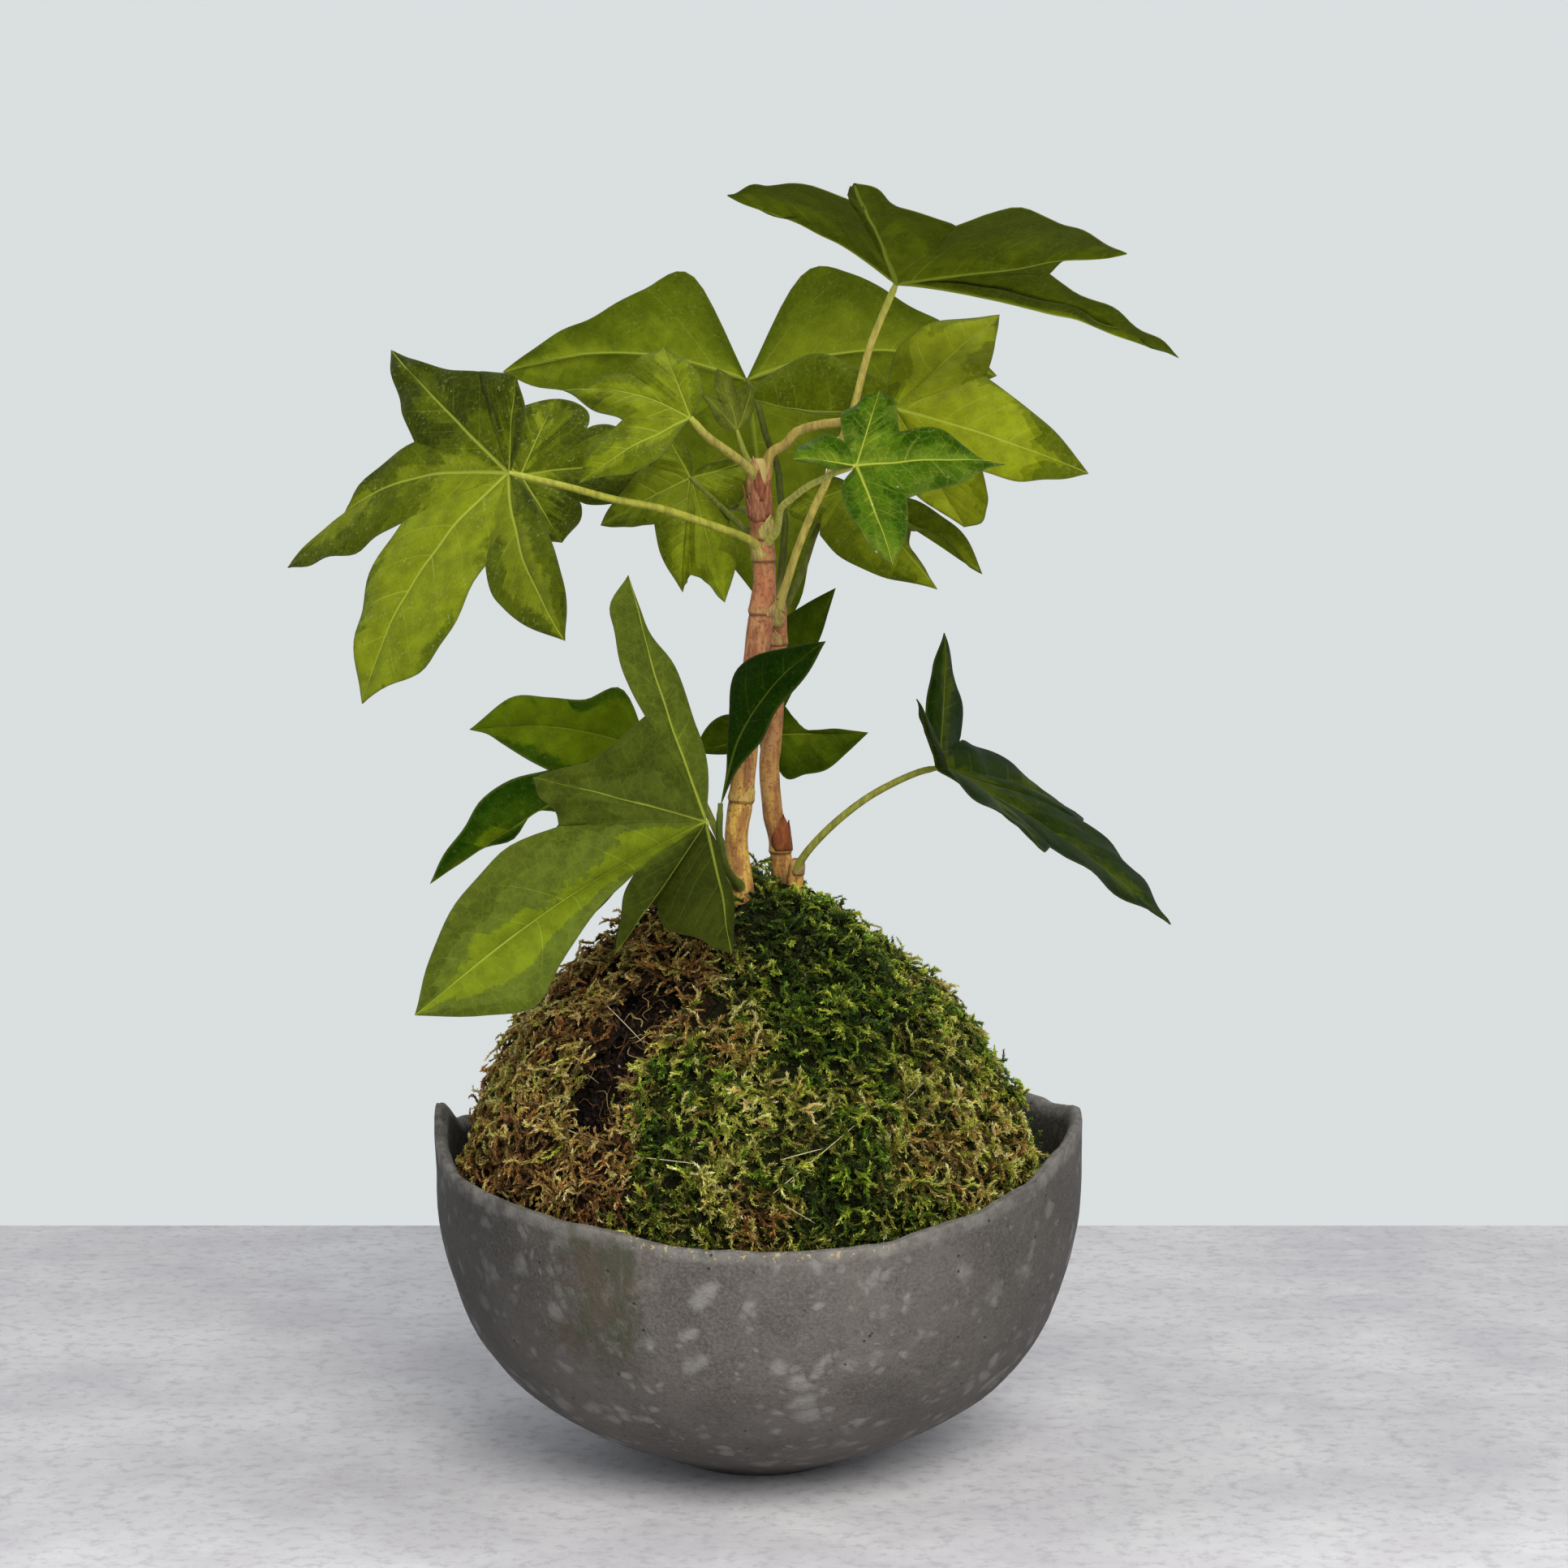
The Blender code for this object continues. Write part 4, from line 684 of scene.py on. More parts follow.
def grained_material(name, rough, grain, dark, relief, shine=0.2, ends=(0.35, 0.65)):
    """A plain dry surface that takes its colour from the piece's own tint, darker in its grain."""
    g = Graph(name)
    tint = g.attribute("tint", "Color")
    grain = g.noise(g.place(), grain, 3.0, 0.6)
    colour = tint.tinted(dark).mix(grain.ease(*ends), tint)
    return g.shaded(Base_Color=colour, Roughness=rough, Normal=g.bump(grain, 0.0002, relief),
                    Specular_IOR_Level=shine)


def moss_material(name, rough):
    g = Graph(name)
    tint = g.attribute("tint", "Color")
    mottle = g.noise(g.place(), 700.0)
    colour = tint.tinted((0.72, 0.74, 0.68)).mix(mottle.ease(0.35, 0.65), tint)
    g.glow_through(colour.tinted((1.3, 1.3, 0.9)), 0.18)
    return g.shaded(Base_Color=colour, Roughness=rough, Specular_IOR_Level=0.42)


def mat_material(name, dark, light):
    """The matted moss under the sprigs: dark, tangled, with deep relief, its darkness partly painted shade.
    """
    g = Graph(name)
    place = g.place()
    tangle = g.noise(place, 520.0, 5.0, 0.7, 1.2)
    lump = g.noise(place, 170.0, 3.0, 0.6)
    colour = g.mix(tangle.ease(0.40, 0.66), dark, light)
    # Painted shade: near black in the hollows between the lumps
    colour = colour.mix(lump.ease(0.35, 0.60, 0.7, 0.0), (0.008, 0.006, 0.004))
    return g.shaded(Base_Color=colour, Roughness=0.95, Normal=g.bump(tangle * 0.6 + lump, 0.0025),
                    Specular_IOR_Level=0.1)


def soil_material(name):
    """Damp potting soil: near black crumbs with brown fibres."""
    g = Graph(name)
    place = g.place()
    crumb = g.cells(place, 520.0, "Color").parts()[0]
    fibre = g.noise(place, (500.0, 1200.0, 340.0), 4.0, 0.7, 1.5)
    colour = g.mix(crumb, (0.004, 0.002, 0.001), (0.014, 0.007, 0.003))
    colour = colour.mix(fibre.ease(0.58, 0.72, 0.0, 0.7), (0.038, 0.017, 0.008))
    normal = g.bump(g.cells(place, 520.0) * 1.2 + fibre, 0.0016)
    return g.shaded(Base_Color=colour, Roughness=0.9, Normal=normal, Specular_IOR_Level=0.15)


def pale_dabs(g, place):
    """How much of each place a pale dab covers."""
    warp = g.noise(place, 70.0, 3.0, 0.6)
    other_warp = g.noise(place, (83.0, 83.0, -83.0), 3.0, 0.6)
    moved = g.moved(place, (warp, other_warp, warp), (0.012, 0.012, 0.007))
    covered = 0.0
    for scale, first, most, share in DABS:
        draw, pick, _ = g.cells(moved, scale, "Color").parts()
        inside = (g.cells(moved, scale) / (draw * (most - 0.12) + 0.12)).fall(0.35, 1.10)
        covered = g.math("MAXIMUM", inside * pick.ease(first, first + 0.04) * share, covered)
    return covered * g.noise(place, 520.0, 4.0, 0.65).ease(0.30, 0.60, 0.60, 1.0)


def stain_share(g, place, x, z):
    """How strongly the stain shows, inside its wandering edges."""
    (left, low), (right, high) = STAIN
    wander = (g.noise(place, 130.0, 4.0, 0.65) - 0.5) * 0.016
    x, z = x + wander, z + wander
    in_x = x.ease((left - 1) * MM, (left + 5) * MM) * x.fall((right - 3) * MM, (right + 2) * MM)
    in_z = z.ease((low - 6) * MM, (low + 10) * MM) * z.fall(high * MM, (high + 8) * MM)
    return in_x * in_z * g.noise(place, (210.0, 210.0, 120.0), 5.0, 0.7).ease(0.30, 0.56)


def bowl_material():
    """Matt dark grey stoneware with pale dabs, pits, a stained streak and a worn rim."""
    g = Graph("stoneware_fine")
    place, rim = g.place(), g.attribute("rim")
    x, y, z = place.parts()
    sand = g.noise(place, 1400.0, 3.0, 0.65)
    clay = g.noise(place, 38.0, 4.0, 0.6).ease(0.32, 0.66)
    base = g.mix(clay, (0.070, 0.062, 0.055), (0.128, 0.114, 0.102))
    base = base.mix(sand.ease(0.38, 0.66, 0.0, 0.60), (0.160, 0.146, 0.132))
    base = base.mix(g.noise(place, 620.0, 3.0, 0.6).ease(0.52, 0.70, 0.0, 0.40), (0.052, 0.046, 0.042))
    dabs = pale_dabs(g, place) * z.ease(0.030, 0.066, 1.0, 0.80)
    base = base.mix(dabs * 0.95, (0.255, 0.243, 0.228))
    # Painted shade: darker at both sides and towards the foot
    for at, low, high, start, end in ((x, -0.070, -0.022, 0.40, 1.0), (x, 0.020, 0.070, 1.0, 0.66),
                                      (z, 0.002, 0.044, 0.58, 1.0)):
        base = base.tinted(at.ease(low, high, start, end))
    front = y.fall(-0.03, -0.01)
    rust = g.noise(place, 110.0, 4.0, 0.65).ease(0.42, 0.60)
    stain = g.mix(rust, (0.042, 0.044, 0.020), (0.066, 0.046, 0.026))
    base = base.mix(stain_share(g, place, x, z) * front * 0.80, stain)
    worn = rim * g.noise(place, 260.0, 4.0, 0.6).ease(0.35, 0.65, 0.15, 0.75) * rim.ease(0.45, 1.0)
    base = base.mix(worn, (0.20, 0.19, 0.175))
    # Painted glint: a highlight painted in specks along the front middle of the rim
    painted_glint = g.noise(place, 900.0).ease(0.60, 0.66) * (rim * front)
    painted_glint = painted_glint * abs(x).fall(0.022, 0.034) * rim.ease(0.72, 0.95)
    base = base.mix(painted_glint, (0.42, 0.32, 0.15))
    picked = g.cells(place, 330.0, "Color").parts()[1].ease(0.70, 0.75)
    pits = g.cells(place, 330.0).fall(0.04, 0.14) * picked
    base = base.mix(pits * 0.75, (0.022, 0.019, 0.017))
    height = sand * 0.35 + g.noise(place, 420.0, 4.0, 0.65) * 0.8 + pits * -1.4 + dabs * 0.35
    return g.shaded(Base_Color=base, Roughness=dabs * -0.10 + 0.60 + sand * 0.16,
                    Normal=g.bump(height, 0.0008, 0.9), Specular_IOR_Level=0.35)


def floor_material():
    """Pale plaster, with painted light at the near side and round the bowl's foot that lifts the bowl's
    shadow.
    """
    g = Graph("floor")
    place = g.place()
    x, y, _ = place.parts()
    cloud = g.noise(place, (14.0, 19.6, 14.0), 6.0, 0.62)
    streak = g.noise(place, (44.0, 70.4, 44.0), 5.0, 0.68)
    grain = g.noise(place, (230.0, 276.0, 230.0), 6.0, 0.74)
    colour = g.mix(cloud.ease(0.3, 0.7), (0.440, 0.428, 0.462), (0.550, 0.542, 0.566))
    colour = colour.mix(streak.ease(0.48, 0.70, 0.0, 0.40), (0.60, 0.60, 0.615))
    colour = colour.mix(grain.ease(0.48, 0.64, 0.0, 0.55), (0.33, 0.315, 0.345))
    # Painted light that lifts the bowl's shadow, near the front and round the foot
    near = y.ease(-0.10, -0.02, 1.28, 1.0)
    around = g.math("SQRT", x * x + y * y).ease(0.03, 0.10, 1.5, 1.0)
    return g.shaded(Base_Color=colour.tinted(near * around), Roughness=0.75, Specular_IOR_Level=0.2)


def placed(name, data):
    """A new object in the scene."""
    obj = bpy.data.objects.new(name, data)
    bpy.context.scene.collection.objects.link(obj)
    return obj


def mesh_object(name, points, faces, materials, slots=None):
    """A mesh from arrays: points in millimetres, triangles, materials and each triangle's slot."""
    mesh = bpy.data.meshes.new(name)
    points = np.asarray(points, np.float32) * MM
    faces = np.asarray(faces, np.int32)
    mesh.vertices.add(len(points))
    mesh.vertices.foreach_set("co", points.ravel())
    mesh.loops.add(faces.size)
    mesh.loops.foreach_set("vertex_index", faces.ravel())
    mesh.polygons.add(len(faces))
    mesh.polygons.foreach_set("loop_start", np.arange(len(faces), dtype=np.int32) * 3)
    for made in materials:
        mesh.materials.append(made)
    if slots is not None:
        mesh.polygons.foreach_set("material_index", np.asarray(slots, np.int32))
    mesh.update(calc_edges=True)
    mesh.shade_smooth()
    obj = placed(name, mesh)
    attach(obj, "root")
    return obj


def add_layer(obj, name, values, kind="FLOAT", key="value", domain="CORNER"):
    """Numbers, vectors or colours that the piece's material reads."""
    layer = obj.data.attributes.new(name, kind, domain)
    layer.data.foreach_set(key, np.asarray(values, np.float32).ravel())


def add_tint(obj, tints):
    tints = np.column_stack([tints, np.ones(len(tints))])
    add_layer(obj, "tint", tints, "FLOAT_COLOR", "color", "POINT")


def grid_faces(rows, columns, start=0, wrap=False):
    """Triangles of a grid of rows by columns points, counted row by row, or closed round its columns."""
    i, j = np.meshgrid(np.arange(rows - 1), np.arange(columns if wrap else columns - 1), indexing="ij")
    a = i * columns + j
    b = i * columns + (j + 1) % columns
    quads = np.stack([a, b, b + columns, a + columns], axis=-1).reshape(-1, 4) + start
    return np.concatenate([quads[:, [0, 1, 2]], quads[:, [0, 2, 3]]])


def capped_faces(rows, columns):
    """Triangles of a closed grid whose two ends meet in the two points that follow it."""
    around = np.arange(columns)
    after = (around + 1) % columns
    first = np.full(columns, rows * columns)
    last = (rows - 1) * columns
    caps = np.array([(first, after, around), (first + 1, last + around, last + after)]).swapaxes(1, 2)
    return np.concatenate([grid_faces(rows, columns, wrap=True), *caps])


def border_faces(edges, count):
    """Triangles that join the edges of one skin to the same edges of another, count points further on."""
    return np.concatenate([edges[:, [1, 0, 0]] + (0, 0, count), edges[:, [1, 0, 1]] + (0, count, count)])


def copied_faces(shape, copies):
    """The triangles of many copies of a small shape, one after another."""
    step = shape.max() + 1
    return (shape[None] + (np.arange(copies) * step)[:, None, None]).reshape(-1, 3)


def unit(vectors):
    return vectors / np.maximum(np.linalg.norm(vectors, axis=-1, keepdims=True), 1e-9)


def face_normals(corners):
    """Each triangle's normal, as long as twice its area."""
    return np.cross(corners[:, 1] - corners[:, 0], corners[:, 2] - corners[:, 0])


def lumps(places, size, shift=(0, 0, 0)):
    """A smooth noise from -1 to 1 at each place, with lumps of about this size."""
    shift = Vector(shift)
    return np.array([noise.noise(Vector(place) / size + shift) for place in places])


def field(places, size, seed):
    """A smooth noise from 0 to 1 at each place."""
    return lumps(places, size, (seed * 17.3, seed * 5.1, seed * 9.7)) * 0.5 + 0.5


def nearness(places, middle, reach):
    """1 at a middle, and next to nothing well past its reach."""
    return np.exp(-(np.linalg.norm(places - np.array(middle), axis=1) / reach) ** 2)


def cubic(before, here, there, after, t):
    """A smooth curve from here to there that also heeds the values before and after them."""
    return 0.5 * (2 * here + (there - before) * t + (2 * before - 5 * here + 4 * there - after) * t ** 2
                  + (3 * here - before - 3 * there + after) * t ** 3)


def smooth_route(points, step):
    """Points along a smooth curve through the given ones, about step apart."""
    points = np.asarray(points, float)
    padded = np.concatenate([[2 * points[0] - points[1]], points, [2 * points[-1] - points[-2]]])
    made = []
    for k in range(1, len(padded) - 2):
        ends = padded[k - 1:k + 3]
        count = max(2, int(round(np.linalg.norm((ends[2] - ends[1])[:3]) / step)))
        made.append(cubic(*ends, np.linspace(0, 1, count, endpoint=False)[:, None]))
    return np.concatenate([*made, points[-1:]])


def tube_arrays(route, radii, sides):
    """Points and triangles of a capped tube, and each point's share of the way along."""
    ahead = unit(np.gradient(route, axis=0))
    side = np.cross(ahead[0], (0.31, 0.95, 0.12))
    angle = (np.arange(sides) * TURN / sides)[:, None]
    rings = []
    for centre, direction, radius in zip(route, ahead, radii):
        side = side - direction * np.dot(side, direction)
        side = side / np.linalg.norm(side)
        rings.append(centre + radius * (np.cos(angle) * side + np.sin(angle) * np.cross(direction, side)))
    points = np.concatenate([*rings, route[:1], route[-1:]])
    share = np.repeat(np.linspace(0, 1, len(route)), sides)
    return points, capped_faces(len(route), sides), np.concatenate([share, [0.0, 1.0]])


def polar(angle, length, lift):
    angle, lift = math.radians(angle), math.radians(lift)
    across = length * math.cos(lift)
    return np.array([across * math.cos(angle), across * math.sin(angle), length * math.sin(lift)])


def bulge(belly, share):
    """How far a margin stands out from its chord, at shares of the way along it."""
    if not isinstance(belly, tuple):
        return belly * np.sin(math.pi * share ** BELLY_SKEW)
    heights = np.array([-belly[0], 0, *belly, 0, -belly[-1]])
    place = share * (len(belly) + 1)
    step = np.minimum(place.astype(int), len(belly))
    return cubic(*(heights[step + k] for k in range(4)), place - step)


def margin_points(start, tip, belly, side, share):
    """Points on a lobe's margin, which bulges from the straight line between notch and tip."""
    chord = tip - start
    return start + chord * share + np.array([-chord[1], chord[0], 0]) * side * bulge(belly, share)


def half_lobe(lobe, notch, side, rng):
    """Points of half a lobe before it is placed, and the numbers that its material reads."""
    # A column for the rows from petiole to tip, and a row for the columns from rib to margin
    row = np.linspace(0, 1, BLADE_ROWS + 1)[:, None] ** ROW_SPACING * (ROWS_TO_NOTCH + ROWS_TO_TIP)
    v = np.linspace(0, 1, BLADE_COLUMNS + 1)[None, :] ** COLUMN_SPACING
    inner = row <= ROWS_TO_NOTCH
    outer_share = np.clip((row - ROWS_TO_NOTCH) / ROWS_TO_TIP, 0, 1)
    along = np.where(inner, RIB_TO_NOTCH * row / ROWS_TO_NOTCH,
                     RIB_TO_NOTCH + (1 - RIB_TO_NOTCH) * outer_share)
    tip = polar(lobe.angle, lobe.length, lobe.lift)
    across = np.array([-tip[1], tip[0], 0])
    across /= np.linalg.norm(across)
    rib = tip * along + across * (lobe.bow * np.sin(math.pi * along))
    belly = lobe.after if side > 0 else lobe.before
    before_notch = np.clip(ROWS_TO_NOTCH - row, 0, None)
    if notch is None:
        edge = margin_points(np.zeros(3), tip, belly, side, along)
        notch_room = 0 * row
        shared = 0 * row
    else:
        corner = polar(*notch)
        outer_edge = margin_points(corner, tip, belly, side, outer_share)
        edge = np.where(inner, corner * (row / ROWS_TO_NOTCH), outer_edge)
        notch_room = before_notch / ROWS_TO_NOTCH * notch.radius
        # How much a point on the line to a notch belongs to the next lobe as well
        shared = 0.5 * np.clip(before_notch, 0, 1) * v ** 2
    point = rib[:, None, :] + (edge - rib)[:, None, :] * v[..., None]
    width = np.linalg.norm(edge - rib, axis=1, keepdims=True)
    distance = width * v
    margin = width * (1 - v) + notch_room
    gap = lobe.length / VEINS
    start = (along * lobe.length - distance * VEIN_SLANT - VEIN_BEND * distance ** 2) / gap
    wander = VEIN_WANDER * np.sin(start * WANDER_RATE + rng.uniform(0, ANY_WAY))
    phase = start + wander + rng.uniform(0, 1) + 40
    # Puckers between the side veins, a sunk rib and a gently waved margin
    point[..., 2] += QUILT * width * (4 * v * (1 - v))
    window = np.clip(distance / PUCKER_OFF_RIB, 0, 1) * np.clip(margin / PUCKER_OFF_MARGIN, 0, 1)
    point[..., 2] += PUCKER * (np.abs(np.sin(math.pi * (phase - 0.5))) - 0.5) * window
    point[..., 2] -= RIB_SINK * np.exp(-(distance / SINK_WIDE) ** 2) * (1 - along * 0.6)
    wave = np.sin(along * lobe.length / WAVE_LENGTH * TURN + rng.uniform(0, 6))
    free = np.clip(1 - margin / WAVE_REACH, 0, 1) ** 2 * ~inner * np.sin(math.pi * outer_share)
    point[..., 2] += MARGIN_WAVE * wave * free
    rib_width = (RIB_WIDE - RIB_NARROWS * along) * (0.55 + 0.45 * min(1.0, lobe.length / FULL_LOBE))
    numbers = {"rib": distance, "phase": phase, "gap": gap, "margin": margin, "rib_width": rib_width,
               "shared": shared, "far": along}
    return point, {key: np.broadcast_to(values, distance.shape) for key, values in numbers.items()}


def lobe_colours(name, leaf, index, side, found):
    """Adds what its lobe tables say to a half lobe's numbers, easing into the next lobe at a notch."""
    beside = min(max(index + side, 0), len(leaf.lobes) - 1)
    shared, far = found.pop("shared"), found.pop("far")
    # The lime bias, and the painted light and shade of each lobe
    for key, table, plain in (("bias", LOBE_LIME, 0), ("shade", LOBE_PAINTED_LIGHT, 1)):
        values = table.get(name, (plain,) * len(leaf.lobes))
        found[key] = values[index] + (values[beside] - values[index]) * shared
    found["bias"] += LOBE_TIP.get((name, index), 0) * np.clip(far * 3 - 1.8, 0, 1)
    found["bias"] += side * LOBE_LEAN.get((name, index), 0)
    found["side"] = np.full(far.shape, index * 2 + (side > 0))


def blade_arrays(name, leaf, rng):
    """The placed middle surface of a blade: welded points, triangles and corner numbers."""
    facing = np.array(Vector(leaf.facing).normalized())
    toward = np.array(leaf.toward, float)
    toward = toward - facing * np.dot(toward, facing)
    toward /= np.linalg.norm(toward)
    sideways = np.cross(facing, toward)
    longest = max(lobe.length for lobe in leaf.lobes)
    notches = [None, *leaf.notches, None]
    offset = np.array([*rng.uniform(-400, 400, 2), 0])
    points, faces, numbers, flats = [], [], [], []
    start = 0
    for index, lobe in enumerate(leaf.lobes):
        for side, notch in ((-1, notches[index]), (1, notches[index + 1])):
            local, found = half_lobe(lobe, notch, side, rng)
            rows, columns = local.shape[:2]
            reach = np.minimum(1.0, np.linalg.norm(local, axis=2) / longest)
            local[..., 2] += leaf.arch * longest * 4 * reach * (1 - reach)
            place = (local * (1, 1, 0) + offset).reshape(-1, 3)
            flats.append(place)
            rumple = lumps(place, RUMPLE_SIZE).reshape(rows, columns)
            local[..., 2] += RUMPLE * rumple * np.clip(reach * 4, 0, 1)
            placed = (np.array(leaf.base) + local[..., :1] * toward + local[..., 1:2] * sideways
                      + local[..., 2:] * facing)
            points.append(placed.reshape(-1, 3))
            made = grid_faces(rows, columns, start)
            faces.append(made if side > 0 else made[:, ::-1])
            lobe_colours(name, leaf, index, side, found)
            numbers.append({key: values.ravel() for key, values in found.items()})
            start += rows * columns
    points, faces, flats = (np.concatenate(found) for found in (points, faces, flats))
    numbers = {key: np.concatenate([found[key] for found in numbers]) for key in numbers[0]}
    _, first, index = np.unique(np.round(points / WELD).astype(np.int64), axis=0, return_index=True,
                                return_inverse=True)
    welded = index.reshape(-1)[faces]
    whole = (welded != np.roll(welded, 1, axis=1)).all(axis=1)
    return points[first], welded[whole], faces[whole], numbers, flats, facing


def edges_of(faces):
    return np.concatenate([faces[:, [0, 1]], faces[:, [1, 2]], faces[:, [2, 0]]])


def on_border(edges):
    """Which of the edges belong to one triangle only."""
    _, back, uses = np.unique(np.sort(edges, axis=1), axis=0, return_inverse=True, return_counts=True)
    return uses[back.reshape(-1)] == 1


def petiole_arrays(leaf):
    """Points, triangles and shares along a petiole, thick where it clasps the stem."""
    route = smooth_route([*leaf.petiole, leaf.base], PETIOLE_STEP)
    route = np.concatenate([[route[0] - unit(route[1] - route[0]) * PETIOLE_ROOT], route])
    share = np.linspace(0, 1, len(route))
    length = np.linalg.norm(np.diff(route, axis=0), axis=1).sum()
    flare = FOOT_FLARE * np.exp(-(share * length / FLARE_LENGTH) ** 1.6)
    radii = leaf.thick * (1 + flare - PETIOLE_THINS * share)
    radii[-2:] *= PETIOLE_END
    return tube_arrays(route, radii, PETIOLE_SIDES)


def make_leaf(name, leaf, material, stalk_material, rng):
    """A blade with two skins joined round the margin, and its petiole, as one piece."""
    middle, faces, loose, numbers, flats, facing = blade_arrays(name, leaf, rng)
    normals = face_normals(middle[faces])
    if (normals @ facing).sum() < 0:
        faces, loose, normals = faces[:, ::-1], loose[:, ::-1], -normals
    at_points = np.zeros_like(middle)
    for k in range(3):
        np.add.at(at_points, faces[:, k], normals)
    at_points = unit(at_points)
    rib_at, margin_at = np.full(len(middle), 99.0), np.zeros(len(middle))
    np.minimum.at(rib_at, faces.ravel(), numbers["rib"][loose.ravel()])
    np.maximum.at(margin_at, faces.ravel(), numbers["margin"][loose.ravel()])
    half = BLADE_THICKNESS / 2 * (0.55 + 0.45 * np.clip(margin_at / 2.5, 0, 1))
    swell = RIB_SWELL * np.exp(-(rib_at / SWELL_WIDE) ** 2) * np.clip(margin_at / 6, 0.15, 1)
    top = middle + at_points * half[:, None]
    bottom = middle - at_points * (half + swell)[:, None]
    count = len(middle)
    border = on_border(edges_of(faces))
    rim_faces = border_faces(edges_of(faces)[border], count)
    rim_corners = border_faces(edges_of(loose)[border], 0)
    stalk, stalk_faces, along = petiole_arrays(leaf)
    points = np.concatenate([top, bottom, stalk])
    every = np.concatenate([faces, faces[:, ::-1] + count, rim_faces, stalk_faces + count * 2])
    slots = np.arange(len(every)) >= len(every) - len(stalk_faces)
    obj = mesh_object(name + "_fine", points, every, [material, stalk_material], slots)
    # Corner numbers: both skins and the rim, and nothing on the petiole
    plates = np.concatenate([loose, loose[:, ::-1], rim_corners]).ravel()
    spare = np.zeros(stalk_faces.size)
    for key, values in numbers.items():
        add_layer(obj, key, np.concatenate([values[plates], spare]))
    under = np.repeat([0, 1, 0.5, 0], [faces.size, faces.size, rim_faces.size, spare.size])
    add_layer(obj, "under", under)
    flat = np.concatenate([flats[plates] * MM, np.zeros((spare.size, 3))])
    add_layer(obj, "flat", flat, "FLOAT_VECTOR", "vector")
    add_layer(obj, "along", np.concatenate([np.zeros(plates.size), along[stalk_faces.ravel()]]))
    obj.data.set_sharp_from_angle(angle=math.radians(SHARP_ANGLE))
    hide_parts(name)
    return obj


def between(route, heights):
    """x, y and radius of a stem at heights, on a smooth curve through its points."""
    fine = smooth_route(route, 1.0)
    return [np.interp(heights, fine[:, 2], fine[:, k]) for k in (0, 1, 3)]


def make_stem(name, route, rings, material):
    """A stem with its leaf scars, a little lumpy as young bark is."""
    low, high = route[0][2], route[-1][2]
    heights = np.arange(low, high + 0.01, STEM_STEP)
    x, y, radius = between(route, heights)
    for ring in rings:
        above = np.clip(heights - ring, 0, None)
        below = np.clip(ring - heights, 0, None)
        radius = radius + RING_OUT * np.exp(-(above / RING_ABOVE) ** 2 - (below / RING_BELOW) ** 2)
        radius = radius - GROOVE_IN * np.exp(-((heights - ring + GROOVE_UNDER) / GROOVE_WIDE) ** 2)
    end = np.clip((high - heights) / STEM_END_ROUND, 0, 1)
    radius = radius * np.sqrt(1 - (1 - end) ** 2 * 0.9)
    points, faces, _ = tube_arrays(np.stack([x, y, heights], axis=1), radius, STEM_SIDES)
    axis = np.stack([np.interp(points[:, 2], heights, way) for way in (x, y)], axis=1)
    out = lumps(points / STEM_LUMP_SIZE, 1) * STEM_LUMPS
    points[:, :2] += unit(points[:, :2] - axis) * out[:, None]
    obj = mesh_object(name + "_fine", points, faces, [material])
    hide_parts(name)
    return obj


def make_bracts(routes, material, rng):
    """Thin pointed scales that hug the stems, closed on both faces."""
    points, faces, tints = [], [], []
    v = np.linspace(0, 1, BRACT_ROWS)[:, None] + np.zeros((1, BRACT_ROWS))
    u = np.linspace(-1, 1, BRACT_ROWS)[None, :] + np.zeros((BRACT_ROWS, 1))
    skin = grid_faces(BRACT_ROWS, BRACT_ROWS)
    order = np.arange(v.size).reshape(v.shape)
    ring = np.concatenate([order[0], order[1:, -1], order[-1, -2::-1], order[-2:0:-1, 0]])
    side = border_faces(np.stack([ring, np.roll(ring, -1)], axis=1), v.size)[:, ::-1]
    shape = np.concatenate([skin[:, ::-1], skin + v.size, side])
    outline = np.clip(1 - v ** 1.8, 0.02, 1) * (0.8 + 0.35 * np.sin(math.pi * np.clip(v * 1.4, 0, 1)))
    for key, height, azimuth, length, width, colour in BRACTS:
        route = routes[key]
        x, y, radius = between(route, np.clip(height + v * length, route[0][2], route[-1][2] - 1.0))
        lift = BRACT_OFF + BRACT_CURL * v ** 3 + 0.08 * np.sin(u * 5 + height)
        angle = math.radians(azimuth) + u * (width / 2 * outline) / np.maximum(radius, 1.5)
        ragged = 0.35 * np.sin(u * 9 + height) * v
        for depth in (0.0, BRACT_THICKNESS):
            reach = radius + lift + depth * (1 - 0.8 * np.abs(u))
            points.append(np.stack([x + np.cos(angle) * reach, y + np.sin(angle) * reach,
                                    height + v * length + ragged], axis=-1).reshape(-1, 3))
        faces.append(shape + len(faces) * 2 * v.size)
        tints += [np.array(colour) * rng.uniform(0.85, 1.15) * (1.0 + 0.35 * v.reshape(-1, 1))] * 2
    obj = mesh_object("bracts", np.concatenate(points), np.concatenate(faces), [material])
    add_tint(obj, np.concatenate(tints))
    return obj


def in_patch(places, room=1.0):
    """Which places lie at the front inside the bare patch, or inside its outline scaled by room."""
    x, y, z = places.T
    outline = np.array(BARE_PATCH)
    outline = outline.mean(axis=0) + (outline - outline.mean(axis=0)) * room
    inside = np.zeros(len(x), bool)
    for (ax, az), (bx, bz) in zip(outline, np.roll(outline, -1, axis=0)):
        crosses = (az > z) != (bz > z)
        at = ax + (z - az) / ((bz - az) if bz != az else 1e-9) * (bx - ax)
        inside ^= crosses & (x < at)
    return inside & (y < 0)


